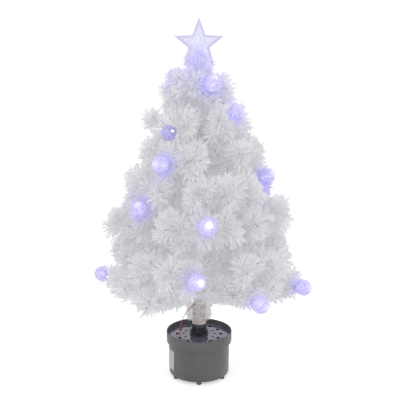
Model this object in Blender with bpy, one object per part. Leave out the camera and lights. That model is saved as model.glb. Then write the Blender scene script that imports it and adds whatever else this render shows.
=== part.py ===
# White pre-lit tabletop tree: a vented round base with a lamp and colour wheel, a lift-out
# trunk, boughs whose wires fold at the trunk, clear globe lights and a lift-off star.
# Metres, +Z up. The origin is on the floor, on the trunk's axis; the front faces -Y.

import math

import bmesh
import bpy
from mathutils import Matrix, Vector
from mathutils.geometry import interpolate_bezier

MM = 0.001
DEG = math.pi / 180
UP = Vector((0, 0, 1))

# Clearances
SEAT_GAP = 0.3 * MM
SLIDE_GAP = 0.5 * MM
CUT_OVERRUN = 2 * MM
WELD = 0.001 * MM

# Pot, bottom cover and feet
FOOT_HEIGHT = 11 * MM
POT_HEIGHT = 108 * MM
POT_RADIUS = 78 * MM
POT_TAPER = 1 * MM
POT_WALL = 2.5 * MM
RIM_OVERHANG = 6 * MM
RIM_WALL = 2.8 * MM
RIM_HEIGHT = 26.5 * MM
RIM_ROUND = 1 * MM
LEDGE_THICKNESS = 2.8 * MM
COVER_THICKNESS = 2.4 * MM
COVER_INSET = 1 * MM
SPIGOT_HEIGHT = 5 * MM
SPIGOT_WALL = 2 * MM
FOOT_RADIUS = 6.5 * MM
FOOT_FACE_RADIUS = 4.5 * MM
FOOT_INSET = 10 * MM
FOOT_COUNT = 6
POT_SEGMENTS = 32

# Vent plate
PLATE_DEPTH = 10.5 * MM
PLATE_THICKNESS = 2.5 * MM
SLOT_COUNT = 12
SLOT_CIRCLE_SHARE = 0.57
SLOT_WIDTH = 5.3 * MM
SLOT_LENGTH = 10.5 * MM
HOLE_CIRCLE_SHARE = 0.3
HOLE_RADIUS = 2.3 * MM

# Trunk socket and ferrule
COLLAR_RADIUS = 22.5 * MM
COLLAR_RISE = 5 * MM
SOCKET_RADIUS = 20.8 * MM
SOCKET_DEPTH = 27 * MM
SOCKET_LEDGE = 2 * MM
LIGHT_PORT_RADIUS = 13 * MM
FERRULE_RADIUS = 17.8 * MM
FERRULE_SHOWN = 15.2 * MM
FERRULE_WALL = 3.2 * MM

# Fibre bundle and trunk pole
FIBRE_RADIUS = 11.5 * MM
FIBRE_LENGTH = 84 * MM
POLE_SPIGOT = 34 * MM
POLE_TOP_RADIUS = 7.5 * MM
POLE_JACKET = 78.5 * MM
POLE_TOP_RUN = 45 * MM
TRUNK_SEGMENTS = 16
BAND_HEIGHT = 8 * MM
BAND_THICKNESS = 1.5 * MM
JACKET_RINGS = 5

# Lamp, colour wheel and motor
WHEEL_OFFSET = 30 * MM
WHEEL_CLEARANCE = 2.5 * MM
WHEEL_THICKNESS = 1 * MM
WHEEL_DROP = 6 * MM
HUB_FLANGE_RADIUS = 9 * MM
HUB_FLANGE = 2 * MM
HUB_RADIUS = 4 * MM
HUB_SKIRT = 6 * MM
HUB_CAP = 1.6 * MM
SHAFT_RADIUS = 1.5 * MM
MOTOR_RADIUS = 13 * MM
MOTOR_HEIGHT = 20 * MM
MOTOR_NOSE = 2 * MM
MOTOR_NOSE_GAP = 2 * MM
BRACKET_SHEET = 1.6 * MM
BRACKET_TAB = 8 * MM
BRACKET_WIDTH = 18 * MM
HOLDER_RADIUS = 9 * MM
HOLDER_SHARE = 0.61
LAMP_PIN_DEPTH = 9 * MM
LAMP_BASE_RADIUS = 4 * MM
LAMP_NECK = 3 * MM
LAMP_DISH_RADIUS = 14 * MM
LAMP_DISH_HEIGHT = 18 * MM
LAMP_DISH_WALL = 1.2 * MM
LAMP_RIM = 2 * MM
CAPSULE_RADIUS = 2.5 * MM
CAPSULE_HEIGHT = 9 * MM

# Driver board and power inlet
BOARD_LENGTH = 42 * MM
BOARD_WIDTH = 24 * MM
BOARD_THICKNESS = 1.6 * MM
BOARD_LIFT = 6 * MM
BOARD_EDGE_GAP = 4.7 * MM
BOARD_Y = -22 * MM
STANDOFF_RADIUS = 2.5 * MM
STANDOFF_INSET = 4 * MM
CAPACITOR_RADIUS = 4 * MM
CAPACITOR_HEIGHT = 12 * MM
CHIP_SIZE = 9 * MM
CHIP_HEIGHT = 2.5 * MM
CHIP_SHIFT = 11 * MM
CONNECTOR_SIZE = 6 * MM
CONNECTOR_HEIGHT = 7 * MM
INLET_HEIGHT = 32 * MM
INLET_RADIUS = 5.5 * MM
INLET_FLANGE_RADIUS = 7.5 * MM
INLET_FLANGE = 1.6 * MM
INLET_LENGTH = 14 * MM
INLET_BORE_RADIUS = 3.2 * MM
INLET_BORE_DEPTH = 10 * MM
INLET_PIN_RADIUS = 1 * MM
INLET_PIN_SETBACK = 2.5 * MM

# Red light lead from the board, up through a vent slot, to the trunk. Its places along the way
# are shares of the run from the slot in the plate to the trunk, in each axis.
LEAD_RADIUS = 0.9 * MM
LEAD_STEP = 4.5 * MM
LEAD_SLOT_ANGLE = 210 * DEG
LEAD_TRUNK_ANGLE = 236 * DEG
LEAD_TRUNK_RISE = 55.5 * MM
LEAD_END_RUN = 3 * MM
LEAD_PLACE_SHARES = [
    (0, 0, 0.13),
    (0.03, 0, 0.31),
    (0.14, 0.04, 0.54),
    (0.38, 0.12, 0.76),
    (0.69, 0.27, 0.92),
]

# Boughs: six tiers of twisted-wire brushes
TIER_SPACING = 81 * MM
LOWEST_REACH = 240 * MM
TIP_RISE = 45 * MM
TIER_COUNTS = [6, 5, 5, 4, 3, 3]
TIER_FIRST_AZIMUTHS = [30 * DEG, -18 * DEG, 0 * DEG, 25 * DEG, -36 * DEG, -55 * DEG]
TIER_REACH_SHARES = [1, 0.93, 0.8, 0.68, 0.55, 0.42]
TIER_RISE_SHARES = [0.4, 0.75, 1.1, 1.1, 1, 1]
TWIG_SPREADS = [21 * DEG, 24 * DEG, 24 * DEG, 29 * DEG, 34 * DEG, 36 * DEG]
TWIG_START_SHARE = 0.3
TWIG_REACH_SHARE = 0.93
ARCH_SHARE = 0.25
CURVE_SAMPLES = 60
WIRE_RADIUS = 1.6 * MM
WIRE_TIP_RADIUS = 1.2 * MM
BARE_WIRE = 12 * MM
ROOT_GAP = 0.7 * MM
PLUME_RADIUS = 23 * MM
TWIG_PLUME_RADIUS = 21 * MM
PLUME_CLEAR = 1 * MM
PLUME_TIP_SHARE = 0.75
LIGHT_TIP_SHARE = 0.4
PLUME_STEP = 33 * MM
FLUTES = 3
FLUTE_SHARE = 0.6
FLUTE_TWIST = 60 * DEG
NEEDLE_LENGTH = 31 * MM
NEEDLE_LEAN = 28 * DEG
NEEDLE_CLEAR = 1.2 * MM
TIP_NEEDLE = 12 * MM
STEM_NEEDLES = 7
TWIG_NEEDLES = 5

# Sprigs bent by hand out of their tier's pattern: the tier, bough and twig (-1, 0 or 1) of each, its
# azimuth, and its shares of the tier's reach and tip rise. The lowest at the front clear the base.
BENT_TWIGS = [
    (1, 1, -1), (1, 1, 1), (1, 5, 0), (1, 5, 1), (1, 6, -1), (1, 6, 0),
    (1, 6, 1), (3, 2, 0), (3, 2, 1), (3, 5, 0), (6, 1, 0),
]
BENT_AZIMUTHS = [
    12 * DEG, 51 * DEG, -90 * DEG, -69 * DEG, -51 * DEG, -30 * DEG,
    -12 * DEG, 72 * DEG, 96 * DEG, -72 * DEG, -70 * DEG,
]
BENT_REACH_SHARES = [0.62, 0.93, 0.88, 0.86, 0.93, 1, 0.62, 1.08, 1, 1.1, 1.12]
BENT_RISE_SHARES = [3.2, 3.2, 2, 2, 2.5, 2.05, 3.2, 1.3, 1, 0.8, 1.3]

# Treetop: the leader wire that carries the star, and its three short twigs
LEADER_LENGTH = 113 * MM
LEADER_PLUME_RADIUS = 16 * MM
LEADER_PIN = 30 * MM
TOP_TWIG_STAND = 31 * MM
TOP_TWIG_PLUME_RADIUS = 14 * MM
TOP_TWIG_REACH = 70 * MM
TOP_TWIG_RISE = 61 * MM
TOP_TWIG_AZIMUTHS = [25 * DEG, -55 * DEG, 165 * DEG]

# Globe lights, placed in the same way
BALL_RADIUS = 20.5 * MM
BALL_WALL = 1.2 * MM
BALL_NECK_RADIUS = 6 * MM
BALL_NECK = 5 * MM
BALL_SEGMENTS = 10
BALL_RINGS = 5
BALL_INNER_RINGS = 3
LED_RADIUS = 2.6 * MM
LED_REACH = 12 * MM
LED_DOME = 2 * MM
LED_TIP_SHARE = 0.4
LIGHT_STAND = 2 * MM
BALL_TWIGS = [
    (1, 1, 0), (1, 2, -1), (1, 5, -1), (2, 1, 1),
    (2, 4, -1), (3, 1, 0), (3, 5, 1), (4, 2, -1),
    (4, 3, 0), (5, 1, 0), (6, 1, -1), (6, 2, 0),
]
BALL_AZIMUTHS = [
    34 * DEG, 79 * DEG, -107 * DEG, -1 * DEG, 180 * DEG, 5 * DEG,
    -52 * DEG, 90 * DEG, -157 * DEG, -36 * DEG, -93 * DEG, 77 * DEG,
]
BALL_REACH_SHARES = [1.05, 1.1, 1.12, 1.05, 1.05, 1.19, 0.93, 1.03, 1.03, 1.14, 0.74, 0.87]
BALL_RISE_SHARES = [2.5, 1.8, 1.5, 0.8, 0.85, 1.42, 1.7, 1.25, 1.2, 0.65, 0.15, 1.29]
TOP_BALL_TWIGS = [0, 1]
TOP_BALL_REACH_SHARES = [1.08, 0.94]
TOP_BALL_RISE_SHARES = [0.87, 1.14]

# Star topper
STAR_STAND = 60 * MM
STAR_RADIUS = 61 * MM
STAR_NOTCH_SHARE = 0.427
STAR_POINTS = 5
STAR_DEPTH = 9 * MM
STAR_WALL = 1.6 * MM
STAR_HOLLOW_SHARE = 0.86
STAR_HOLDER_RADIUS = 3.6 * MM
STAR_HOLDER_FLARE = 6 * MM
STAR_HOLDER_FLARE_LENGTH = 8 * MM
STAR_HOLDER_BORE = 27 * MM
STAR_HOLDER_TOP_GAP = 7 * MM
STAR_HOLDER_TIP_SHARE = 0.4

# Heights and radii that follow from the sizes above
POT_BOTTOM = FOOT_HEIGHT
RIM_TOP = FOOT_HEIGHT + POT_HEIGHT
PLATE_TOP = RIM_TOP - PLATE_DEPTH
PLATE_BOTTOM = PLATE_TOP - PLATE_THICKNESS
LEDGE_TOP = PLATE_BOTTOM - SEAT_GAP
RIM_RADIUS = POT_RADIUS + RIM_OVERHANG
RIM_INNER = RIM_RADIUS - RIM_WALL
FOOT_CIRCLE = POT_RADIUS - FOOT_INSET
SLOT_CIRCLE = COLLAR_RADIUS + (RIM_INNER - COLLAR_RADIUS) * SLOT_CIRCLE_SHARE
HOLE_CIRCLE = COLLAR_RADIUS + (RIM_INNER - COLLAR_RADIUS) * HOLE_CIRCLE_SHARE
COVER_TOP = POT_BOTTOM - SEAT_GAP
COVER_BOTTOM = COVER_TOP - COVER_THICKNESS
FLOOR = COVER_TOP + SEAT_GAP
SOCKET_BORE = FERRULE_RADIUS + SLIDE_GAP
SOCKET_BOTTOM = PLATE_TOP - SOCKET_DEPTH
FERRULE_BOTTOM = SOCKET_BOTTOM + SOCKET_LEDGE + SEAT_GAP
COLLAR_TOP = RIM_TOP + COLLAR_RISE
FERRULE_TOP = COLLAR_TOP + FERRULE_SHOWN
FERRULE_BORE = FERRULE_RADIUS - FERRULE_WALL
POLE_BOTTOM = FERRULE_TOP + SEAT_GAP
JACKET_TOP = POLE_BOTTOM + POLE_JACKET
TIER_START = JACKET_TOP
POLE_TOP = TIER_START + (len(TIER_COUNTS) - 1) * TIER_SPACING + POLE_TOP_RUN
LEADER_TOP = POLE_TOP + LEADER_LENGTH
TOP_TWIG_START = POLE_TOP + TOP_TWIG_STAND
TOP_TWIG_HEIGHT = TOP_TWIG_START + TOP_TWIG_RISE
STAR_HEIGHT = LEADER_TOP + STAR_STAND
POT_INNER = POT_RADIUS - POT_TAPER - POT_WALL
WHEEL_RADIUS = POT_INNER - WHEEL_CLEARANCE - WHEEL_OFFSET
WHEEL_TOP = SOCKET_BOTTOM - WHEEL_DROP
WHEEL_BOTTOM = WHEEL_TOP - WHEEL_THICKNESS
HOLDER_TOP = FLOOR + (WHEEL_BOTTOM - FLOOR - LAMP_DISH_HEIGHT - LAMP_NECK) * HOLDER_SHARE
HUB_FLANGE_TOP = WHEEL_BOTTOM - SEAT_GAP
HUB_BOTTOM = HUB_FLANGE_TOP - HUB_FLANGE - HUB_SKIRT
MOTOR_TOP = HUB_BOTTOM - MOTOR_NOSE_GAP - MOTOR_NOSE
MOTOR_BOTTOM = MOTOR_TOP - MOTOR_HEIGHT
BOARD_CORNER = abs(BOARD_Y) + BOARD_WIDTH / 2
BOARD_X = BOARD_LENGTH / 2 - math.sqrt((POT_INNER - BOARD_EDGE_GAP) ** 2 - BOARD_CORNER**2)
LEAD_TRUNK_HEIGHT = POLE_BOTTOM + LEAD_TRUNK_RISE
FLUTE_SIDES = 2 * FLUTES

cutters = bpy.data.collections.new("cutters")


def clear_scene():
    for obj in list(bpy.data.objects):
        bpy.data.objects.remove(obj, do_unlink=True)
    bpy.context.scene.collection.children.link(cutters)


def make_material(name, color, roughness, metallic=0, transmission=0, glow=0):
    material = bpy.data.materials.new(name)
    material.use_nodes = True
    shader = material.node_tree.nodes["Principled BSDF"]
    shader.inputs["Base Color"].default_value = (*color, 1)
    shader.inputs["Roughness"].default_value = roughness
    shader.inputs["Metallic"].default_value = metallic
    shader.inputs["Transmission Weight"].default_value = transmission
    shader.inputs["Emission Color"].default_value = (*color, 1)
    shader.inputs["Emission Strength"].default_value = glow
    return material


def add_object(name, bm, material, matrix=Matrix(), smooth=True, cutter=False):
    bmesh.ops.recalc_face_normals(bm, faces=bm.faces)
    mesh = bpy.data.meshes.new(name)
    bm.to_mesh(mesh)
    bm.free()
    if smooth:
        mesh.shade_smooth()
        mesh.set_sharp_from_angle(angle=35 * DEG)
    obj = bpy.data.objects.new(name, mesh)
    obj.matrix_world = matrix
    if cutter:
        obj.hide_render = True
        obj.display_type = "WIRE"
        cutters.objects.link(obj)
    else:
        mesh.materials.append(material)
        bpy.context.scene.collection.objects.link(obj)
    return obj


def attach(parent, *children):
    """Parents pieces where they stand, so that they move with the one that carries them."""
    for child in children:
        child.parent = parent
        child.matrix_parent_inverse = parent.matrix_basis.inverted()


def add_boolean(obj, other, operation):
    modifier = obj.modifiers.new(operation.title(), "BOOLEAN")
    modifier.operation = operation
    modifier.object = other


def turned(bm, profile, segments):
    """A profile of (radius, height) points spun about Z. One that starts off the axis is a closed ring."""
    verts = [bm.verts.new((radius, 0, height)) for radius, height in profile]
    ring = profile[0][0] > 0
    pairs = list(zip(verts, verts[1:] + verts[:1])) if ring else list(zip(verts, verts[1:]))
    edges = [bm.edges.new(pair) for pair in pairs]
    bmesh.ops.spin(
        bm, geom=verts + edges, axis=UP, cent=(0, 0, 0), angle=2 * math.pi, steps=segments, use_merge=True
    )
    bmesh.ops.remove_doubles(bm, verts=bm.verts, dist=WELD)


def add_turned(name, profile, segments, material, matrix=Matrix(), cutter=False):
    bm = bmesh.new()
    turned(bm, profile, segments)
    return add_object(name, bm, material, matrix, cutter=cutter)


def add_block(bm, size, centre):
    bmesh.ops.create_cube(bm, size=1, matrix=Matrix.Translation(centre) @ Matrix.Diagonal((*size, 1)))


def add_rod(bm, radius, low, high, x, y, segments):
    bmesh.ops.create_cone(
        bm,
        cap_ends=True,
        segments=segments,
        radius1=radius,
        radius2=radius,
        depth=high - low,
        matrix=Matrix.Translation((x, y, (low + high) / 2)),
    )


def make_pot(material):
    foot = POT_RADIUS - POT_TAPER
    skirt = RIM_TOP - RIM_HEIGHT
    profile = [
        (foot, POT_BOTTOM),
        (POT_RADIUS, LEDGE_TOP - LEDGE_THICKNESS),
        (RIM_INNER, LEDGE_TOP - LEDGE_THICKNESS),
        (RIM_INNER, skirt),
        (RIM_RADIUS - RIM_ROUND, skirt),
        (RIM_RADIUS, skirt + RIM_ROUND),
        (RIM_RADIUS, RIM_TOP - RIM_ROUND),
        (RIM_RADIUS - RIM_ROUND, RIM_TOP),
        (RIM_INNER, RIM_TOP),
        (RIM_INNER, LEDGE_TOP),
        (POT_RADIUS - POT_WALL, LEDGE_TOP),
        (POT_RADIUS - POT_WALL, LEDGE_TOP - LEDGE_THICKNESS),
        (foot - POT_WALL, POT_BOTTOM),
    ]
    pot = add_turned("pot", profile, POT_SEGMENTS, material)
    bm = bmesh.new()
    add_rod(bm, INLET_RADIUS + SEAT_GAP, -INLET_LENGTH, INLET_LENGTH, 0, 0, 16)
    add_boolean(pot, add_object("inlet_cutter", bm, None, inlet_matrix(), cutter=True), "DIFFERENCE")


def make_bottom_cover(material):
    outer = POT_RADIUS - POT_TAPER - COVER_INSET
    spigot = POT_INNER - SEAT_GAP
    profile = [
        (0, COVER_BOTTOM),
        (outer - COVER_INSET, COVER_BOTTOM),
        (outer, COVER_BOTTOM + COVER_INSET),
        (outer, COVER_TOP),
        (spigot, COVER_TOP),
        (spigot, COVER_TOP + SPIGOT_HEIGHT),
        (spigot - SPIGOT_WALL, COVER_TOP + SPIGOT_HEIGHT),
        (spigot - SPIGOT_WALL, COVER_TOP),
        (0, COVER_TOP),
    ]
    cover = add_turned("bottom_cover", profile, POT_SEGMENTS, material)
    bm = bmesh.new()
    round_height = FOOT_RADIUS - FOOT_FACE_RADIUS
    for index in range(FOOT_COUNT):
        angle = index * 2 * math.pi / FOOT_COUNT + math.pi / 2
        foot = bmesh.new()
        turned(
            foot,
            [
                (0, 0),
                (FOOT_FACE_RADIUS, 0),
                (FOOT_RADIUS, round_height),
                (FOOT_RADIUS, COVER_BOTTOM + COVER_THICKNESS / 2),
                (0, COVER_BOTTOM + COVER_THICKNESS / 2),
            ],
            8,
        )
        centre = Vector((math.cos(angle), math.sin(angle), 0)) * FOOT_CIRCLE
        bmesh.ops.translate(foot, vec=centre, verts=foot.verts)
        copy = bpy.data.meshes.new("foot")
        foot.to_mesh(copy)
        bm.from_mesh(copy)
        foot.free()
    add_boolean(cover, add_object("feet", bm, None, cutter=True), "UNION")


def slot_outline(bm, angle):
    """One rounded vent slot, its long side along the circle, as a face below the plate."""
    end = SLOT_WIDTH / 2
    half = SLOT_LENGTH / 2 - end
    corners = []
    for side in (1, -1):
        for step in range(4):
            turn = side * math.pi / 2 - math.pi / 2 + step * math.pi / 3
            corners.append(Vector((end * math.cos(turn), side * half + end * math.sin(turn), 0)))
    place = Matrix.Rotation(angle, 4, "Z") @ Matrix.Translation((SLOT_CIRCLE, 0, PLATE_BOTTOM - CUT_OVERRUN))
    return bm.faces.new([bm.verts.new(place @ corner) for corner in corners])


def make_vent_plate(material):
    outer = RIM_INNER - SLIDE_GAP
    hub = SOCKET_RADIUS + SEAT_GAP
    plate = add_turned(
        "vent_plate",
        [(hub, PLATE_BOTTOM), (outer, PLATE_BOTTOM), (outer, PLATE_TOP), (hub, PLATE_TOP)],
        POT_SEGMENTS,
        material,
    )
    bm = bmesh.new()
    depth = PLATE_THICKNESS + 2 * CUT_OVERRUN
    for index in range(SLOT_COUNT):
        angle = index * 2 * math.pi / SLOT_COUNT
        face = slot_outline(bm, angle)
        raised = bmesh.ops.extrude_face_region(bm, geom=[face])["geom"]
        verts = [g for g in raised if isinstance(g, bmesh.types.BMVert)]
        bmesh.ops.translate(bm, vec=UP * depth, verts=verts)
        x, y = HOLE_CIRCLE * math.cos(angle), HOLE_CIRCLE * math.sin(angle)
        add_rod(bm, HOLE_RADIUS, PLATE_BOTTOM - CUT_OVERRUN, PLATE_TOP + CUT_OVERRUN, x, y, 8)
    add_boolean(plate, add_object("vent_cutter", bm, None, cutter=True), "DIFFERENCE")


def make_socket_collar(material):
    seat = PLATE_TOP + SEAT_GAP
    profile = [
        (SOCKET_BORE, COLLAR_TOP),
        (SOCKET_BORE, SOCKET_BOTTOM + SOCKET_LEDGE),
        (LIGHT_PORT_RADIUS, SOCKET_BOTTOM + SOCKET_LEDGE),
        (LIGHT_PORT_RADIUS, SOCKET_BOTTOM),
        (SOCKET_RADIUS, SOCKET_BOTTOM),
        (SOCKET_RADIUS, seat),
        (COLLAR_RADIUS, seat),
        (COLLAR_RADIUS, COLLAR_TOP - RIM_ROUND),
        (COLLAR_RADIUS - RIM_ROUND, COLLAR_TOP),
    ]
    add_turned("socket_collar", profile, TRUNK_SEGMENTS, material)


def make_lamp(holder_material, lamp_material):
    top = HOLDER_TOP
    seat = top - LAMP_PIN_DEPTH
    add_turned(
        "lamp_holder",
        [
            (0, FLOOR),
            (HOLDER_RADIUS, FLOOR),
            (HOLDER_RADIUS, top),
            (LAMP_BASE_RADIUS + SEAT_GAP, top),
            (LAMP_BASE_RADIUS + SEAT_GAP, seat),
            (0, seat),
        ],
        16,
        holder_material,
    )
    neck = top + LAMP_NECK
    rim = neck + LAMP_DISH_HEIGHT
    dish_floor = neck + LAMP_DISH_WALL
    add_turned(
        "halogen_lamp",
        [
            (0, seat + SEAT_GAP),
            (LAMP_BASE_RADIUS, seat + SEAT_GAP),
            (LAMP_BASE_RADIUS, neck),
            (LAMP_DISH_RADIUS, rim - LAMP_RIM),
            (LAMP_DISH_RADIUS, rim),
            (LAMP_DISH_RADIUS - LAMP_DISH_WALL, rim),
            (LAMP_DISH_RADIUS - LAMP_DISH_WALL, rim - LAMP_RIM),
            (LAMP_BASE_RADIUS, dish_floor),
            (CAPSULE_RADIUS, dish_floor),
            (CAPSULE_RADIUS, dish_floor + CAPSULE_HEIGHT),
            (0, dish_floor + CAPSULE_HEIGHT + CAPSULE_RADIUS),
        ],
        16,
        lamp_material,
    )


def make_colour_wheel(film_material, hub_material):
    matrix = Matrix.Translation((WHEEL_OFFSET, 0, 0))
    bore = HUB_RADIUS + SEAT_GAP
    wheel = add_turned(
        "colour_wheel",
        [(bore, WHEEL_BOTTOM), (WHEEL_RADIUS, WHEEL_BOTTOM), (WHEEL_RADIUS, WHEEL_TOP), (bore, WHEEL_TOP)],
        32,
        film_material,
        matrix,
    )
    shaft_bore = SHAFT_RADIUS + SEAT_GAP
    flange_bottom = HUB_FLANGE_TOP - HUB_FLANGE
    hub = add_turned(
        "wheel_hub",
        [
            (0, WHEEL_TOP),
            (shaft_bore, WHEEL_TOP),
            (shaft_bore, HUB_BOTTOM),
            (HUB_RADIUS, HUB_BOTTOM),
            (HUB_RADIUS, flange_bottom),
            (HUB_FLANGE_RADIUS, flange_bottom),
            (HUB_FLANGE_RADIUS, HUB_FLANGE_TOP),
            (HUB_RADIUS, HUB_FLANGE_TOP),
            (HUB_RADIUS, WHEEL_TOP + HUB_CAP),
            (0, WHEEL_TOP + HUB_CAP),
        ],
        16,
        hub_material,
        matrix,
    )
    attach(hub, wheel)


def make_motor(motor_material, bracket_material):
    matrix = Matrix.Translation((WHEEL_OFFSET, 0, 0))
    nose = MOTOR_TOP + MOTOR_NOSE
    add_turned(
        "motor",
        [
            (0, MOTOR_BOTTOM),
            (MOTOR_RADIUS, MOTOR_BOTTOM),
            (MOTOR_RADIUS, MOTOR_TOP),
            (HUB_RADIUS, MOTOR_TOP),
            (HUB_RADIUS, nose),
            (SHAFT_RADIUS, nose),
            (SHAFT_RADIUS, WHEEL_TOP - SEAT_GAP),
            (0, WHEEL_TOP - SEAT_GAP),
        ],
        20,
        motor_material,
        matrix,
    )
    top = MOTOR_BOTTOM - SEAT_GAP
    half = MOTOR_RADIUS
    outline = [
        (-half - BRACKET_TAB, FLOOR),
        (-half + BRACKET_SHEET, FLOOR),
        (-half + BRACKET_SHEET, top - BRACKET_SHEET),
        (half - BRACKET_SHEET, top - BRACKET_SHEET),
        (half - BRACKET_SHEET, FLOOR),
        (half + BRACKET_TAB, FLOOR),
        (half + BRACKET_TAB, FLOOR + BRACKET_SHEET),
        (half, FLOOR + BRACKET_SHEET),
        (half, top),
        (-half, top),
        (-half, FLOOR + BRACKET_SHEET),
        (-half - BRACKET_TAB, FLOOR + BRACKET_SHEET),
    ]
    bm = bmesh.new()
    face = bm.faces.new([bm.verts.new((0, along, height)) for along, height in outline])
    raised = bmesh.ops.extrude_face_region(bm, geom=[face])["geom"]
    verts = [g for g in raised if isinstance(g, bmesh.types.BMVert)]
    bmesh.ops.translate(bm, vec=(BRACKET_WIDTH, 0, 0), verts=verts)
    shift = Matrix.Translation((WHEEL_OFFSET - BRACKET_WIDTH / 2, 0, 0))
    add_object("motor_bracket", bm, bracket_material, shift, smooth=False)


def make_driver_board(material):
    low = FLOOR + BOARD_LIFT
    top = low + BOARD_THICKNESS
    bm = bmesh.new()
    add_block(bm, (BOARD_LENGTH, BOARD_WIDTH, BOARD_THICKNESS), (BOARD_X, BOARD_Y, low + BOARD_THICKNESS / 2))
    board = add_object("driver_board", bm, material, smooth=False)
    bm = bmesh.new()
    sink = BOARD_THICKNESS / 2
    for side in (-1, 1):
        x = BOARD_X + side * (BOARD_LENGTH / 2 - STANDOFF_INSET)
        for end in (-1, 1):
            y = BOARD_Y + end * (BOARD_WIDTH / 2 - STANDOFF_INSET)
            add_rod(bm, STANDOFF_RADIUS, FLOOR, low + sink, x, y, 8)
    add_rod(bm, CAPACITOR_RADIUS, top - sink / 2, top + CAPACITOR_HEIGHT, BOARD_X, BOARD_Y, 12)
    chip = (CHIP_SIZE, CHIP_SIZE, CHIP_HEIGHT + sink / 2)
    add_block(bm, chip, (BOARD_X + CHIP_SHIFT, BOARD_Y, top + CHIP_HEIGHT / 2 - sink / 4))
    plug = (CONNECTOR_SIZE, CONNECTOR_SIZE, CONNECTOR_HEIGHT + sink / 2)
    x, y = lead_start().xy
    add_block(bm, plug, (x, y, top + CONNECTOR_HEIGHT / 2 - sink / 4))
    add_boolean(board, add_object("board_parts", bm, None, cutter=True), "UNION")


def inlet_matrix():
    """The power inlet's own frame: its axis points out of the back of the pot."""
    share = (INLET_HEIGHT - POT_BOTTOM) / (LEDGE_TOP - LEDGE_THICKNESS - POT_BOTTOM)
    wall = POT_RADIUS - POT_TAPER * (1 - share)
    return Matrix.Translation((0, wall, INLET_HEIGHT)) @ Matrix.Rotation(-90 * DEG, 4, "X")


def make_power_inlet(material):
    mouth = SEAT_GAP + INLET_FLANGE
    floor = mouth - INLET_BORE_DEPTH
    add_turned(
        "power_inlet",
        [
            (0, -INLET_LENGTH),
            (INLET_RADIUS, -INLET_LENGTH),
            (INLET_RADIUS, SEAT_GAP),
            (INLET_FLANGE_RADIUS, SEAT_GAP),
            (INLET_FLANGE_RADIUS, mouth),
            (INLET_BORE_RADIUS, mouth),
            (INLET_BORE_RADIUS, floor),
            (INLET_PIN_RADIUS, floor),
            (INLET_PIN_RADIUS, mouth - INLET_PIN_SETBACK),
            (0, mouth - INLET_PIN_SETBACK),
        ],
        16,
        material,
        inlet_matrix(),
    )


def pole_radius(height):
    """The trunk tapers from its jacket to its top."""
    share = min(max((height - JACKET_TOP) / (POLE_TOP - JACKET_TOP), 0), 1)
    return FERRULE_RADIUS + (POLE_TOP_RADIUS - FERRULE_RADIUS) * share


def tier_height(tier):
    return TIER_START + tier * TIER_SPACING


def make_ferrule(ferrule_material, fibre_material):
    ferrule = add_turned(
        "trunk_ferrule",
        [
            (FERRULE_BORE, FERRULE_BOTTOM),
            (FERRULE_RADIUS, FERRULE_BOTTOM),
            (FERRULE_RADIUS, FERRULE_TOP),
            (FERRULE_BORE, FERRULE_TOP),
        ],
        TRUNK_SEGMENTS,
        ferrule_material,
    )
    bundle = add_turned(
        "fibre_bundle",
        [
            (0, FERRULE_BOTTOM),
            (FIBRE_RADIUS, FERRULE_BOTTOM),
            (FIBRE_RADIUS, FERRULE_BOTTOM + FIBRE_LENGTH),
            (0, FERRULE_BOTTOM + FIBRE_LENGTH),
        ],
        TRUNK_SEGMENTS,
        fibre_material,
    )
    return ferrule, bundle


def make_trunk_pole(material, strands):
    bore = FIBRE_RADIUS + SEAT_GAP
    bore_top = FERRULE_BOTTOM + FIBRE_LENGTH + SEAT_GAP
    spigot = FERRULE_BORE - SEAT_GAP
    profile = [
        (0, bore_top),
        (bore, bore_top),
        (bore, POLE_BOTTOM - POLE_SPIGOT),
        (spigot, POLE_BOTTOM - POLE_SPIGOT),
        (spigot, POLE_BOTTOM),
    ]
    rings = [POLE_BOTTOM + ring * POLE_JACKET / JACKET_RINGS for ring in range(JACKET_RINGS)]
    profile += [(FERRULE_RADIUS, height) for height in rings]
    for tier in range(len(TIER_COUNTS)):
        low, high = tier_height(tier) - BAND_HEIGHT / 2, tier_height(tier) + BAND_HEIGHT / 2
        band = pole_radius(tier_height(tier)) + BAND_THICKNESS
        profile += [(pole_radius(low), low), (band, low + BAND_THICKNESS), (band, high)]
    profile += [(POLE_TOP_RADIUS, POLE_TOP), (0, POLE_TOP)]
    bm = bmesh.new()
    turned(bm, profile, TRUNK_SEGMENTS)
    bmesh.ops.recalc_face_normals(bm, faces=bm.faces)
    for face in list(bm.faces):
        centre = face.calc_center_median()
        if not rings[0] < centre.z < rings[-1] or centre.xy.length < FERRULE_RADIUS - FERRULE_WALL / 2:
            continue
        step = round((centre.z - POLE_BOTTOM) * JACKET_RINGS / POLE_JACKET)
        slice_index = round(math.atan2(centre.y, centre.x) * TRUNK_SEGMENTS / math.pi)
        if (slice_index + 2 * step) % 8 == 1:
            axis_point = Vector((0, 0, centre.z))
            strands.grow(bm, face, axis_point, UP, None, FERRULE_RADIUS + NEEDLE_LENGTH / 2)
    return add_object("trunk_pole", bm, material)


def polar(azimuth, reach, height):
    """A point at an azimuth from the front (-Y), positive towards +X."""
    return Vector((reach * math.sin(azimuth), -reach * math.cos(azimuth), height))


def curve_points(start, control, end, count):
    """A quadratic curve as evenly spread points."""
    first = start + (control - start) * 2 / 3
    second = end + (control - end) * 2 / 3
    return interpolate_bezier(start, first, second, end, count)


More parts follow.
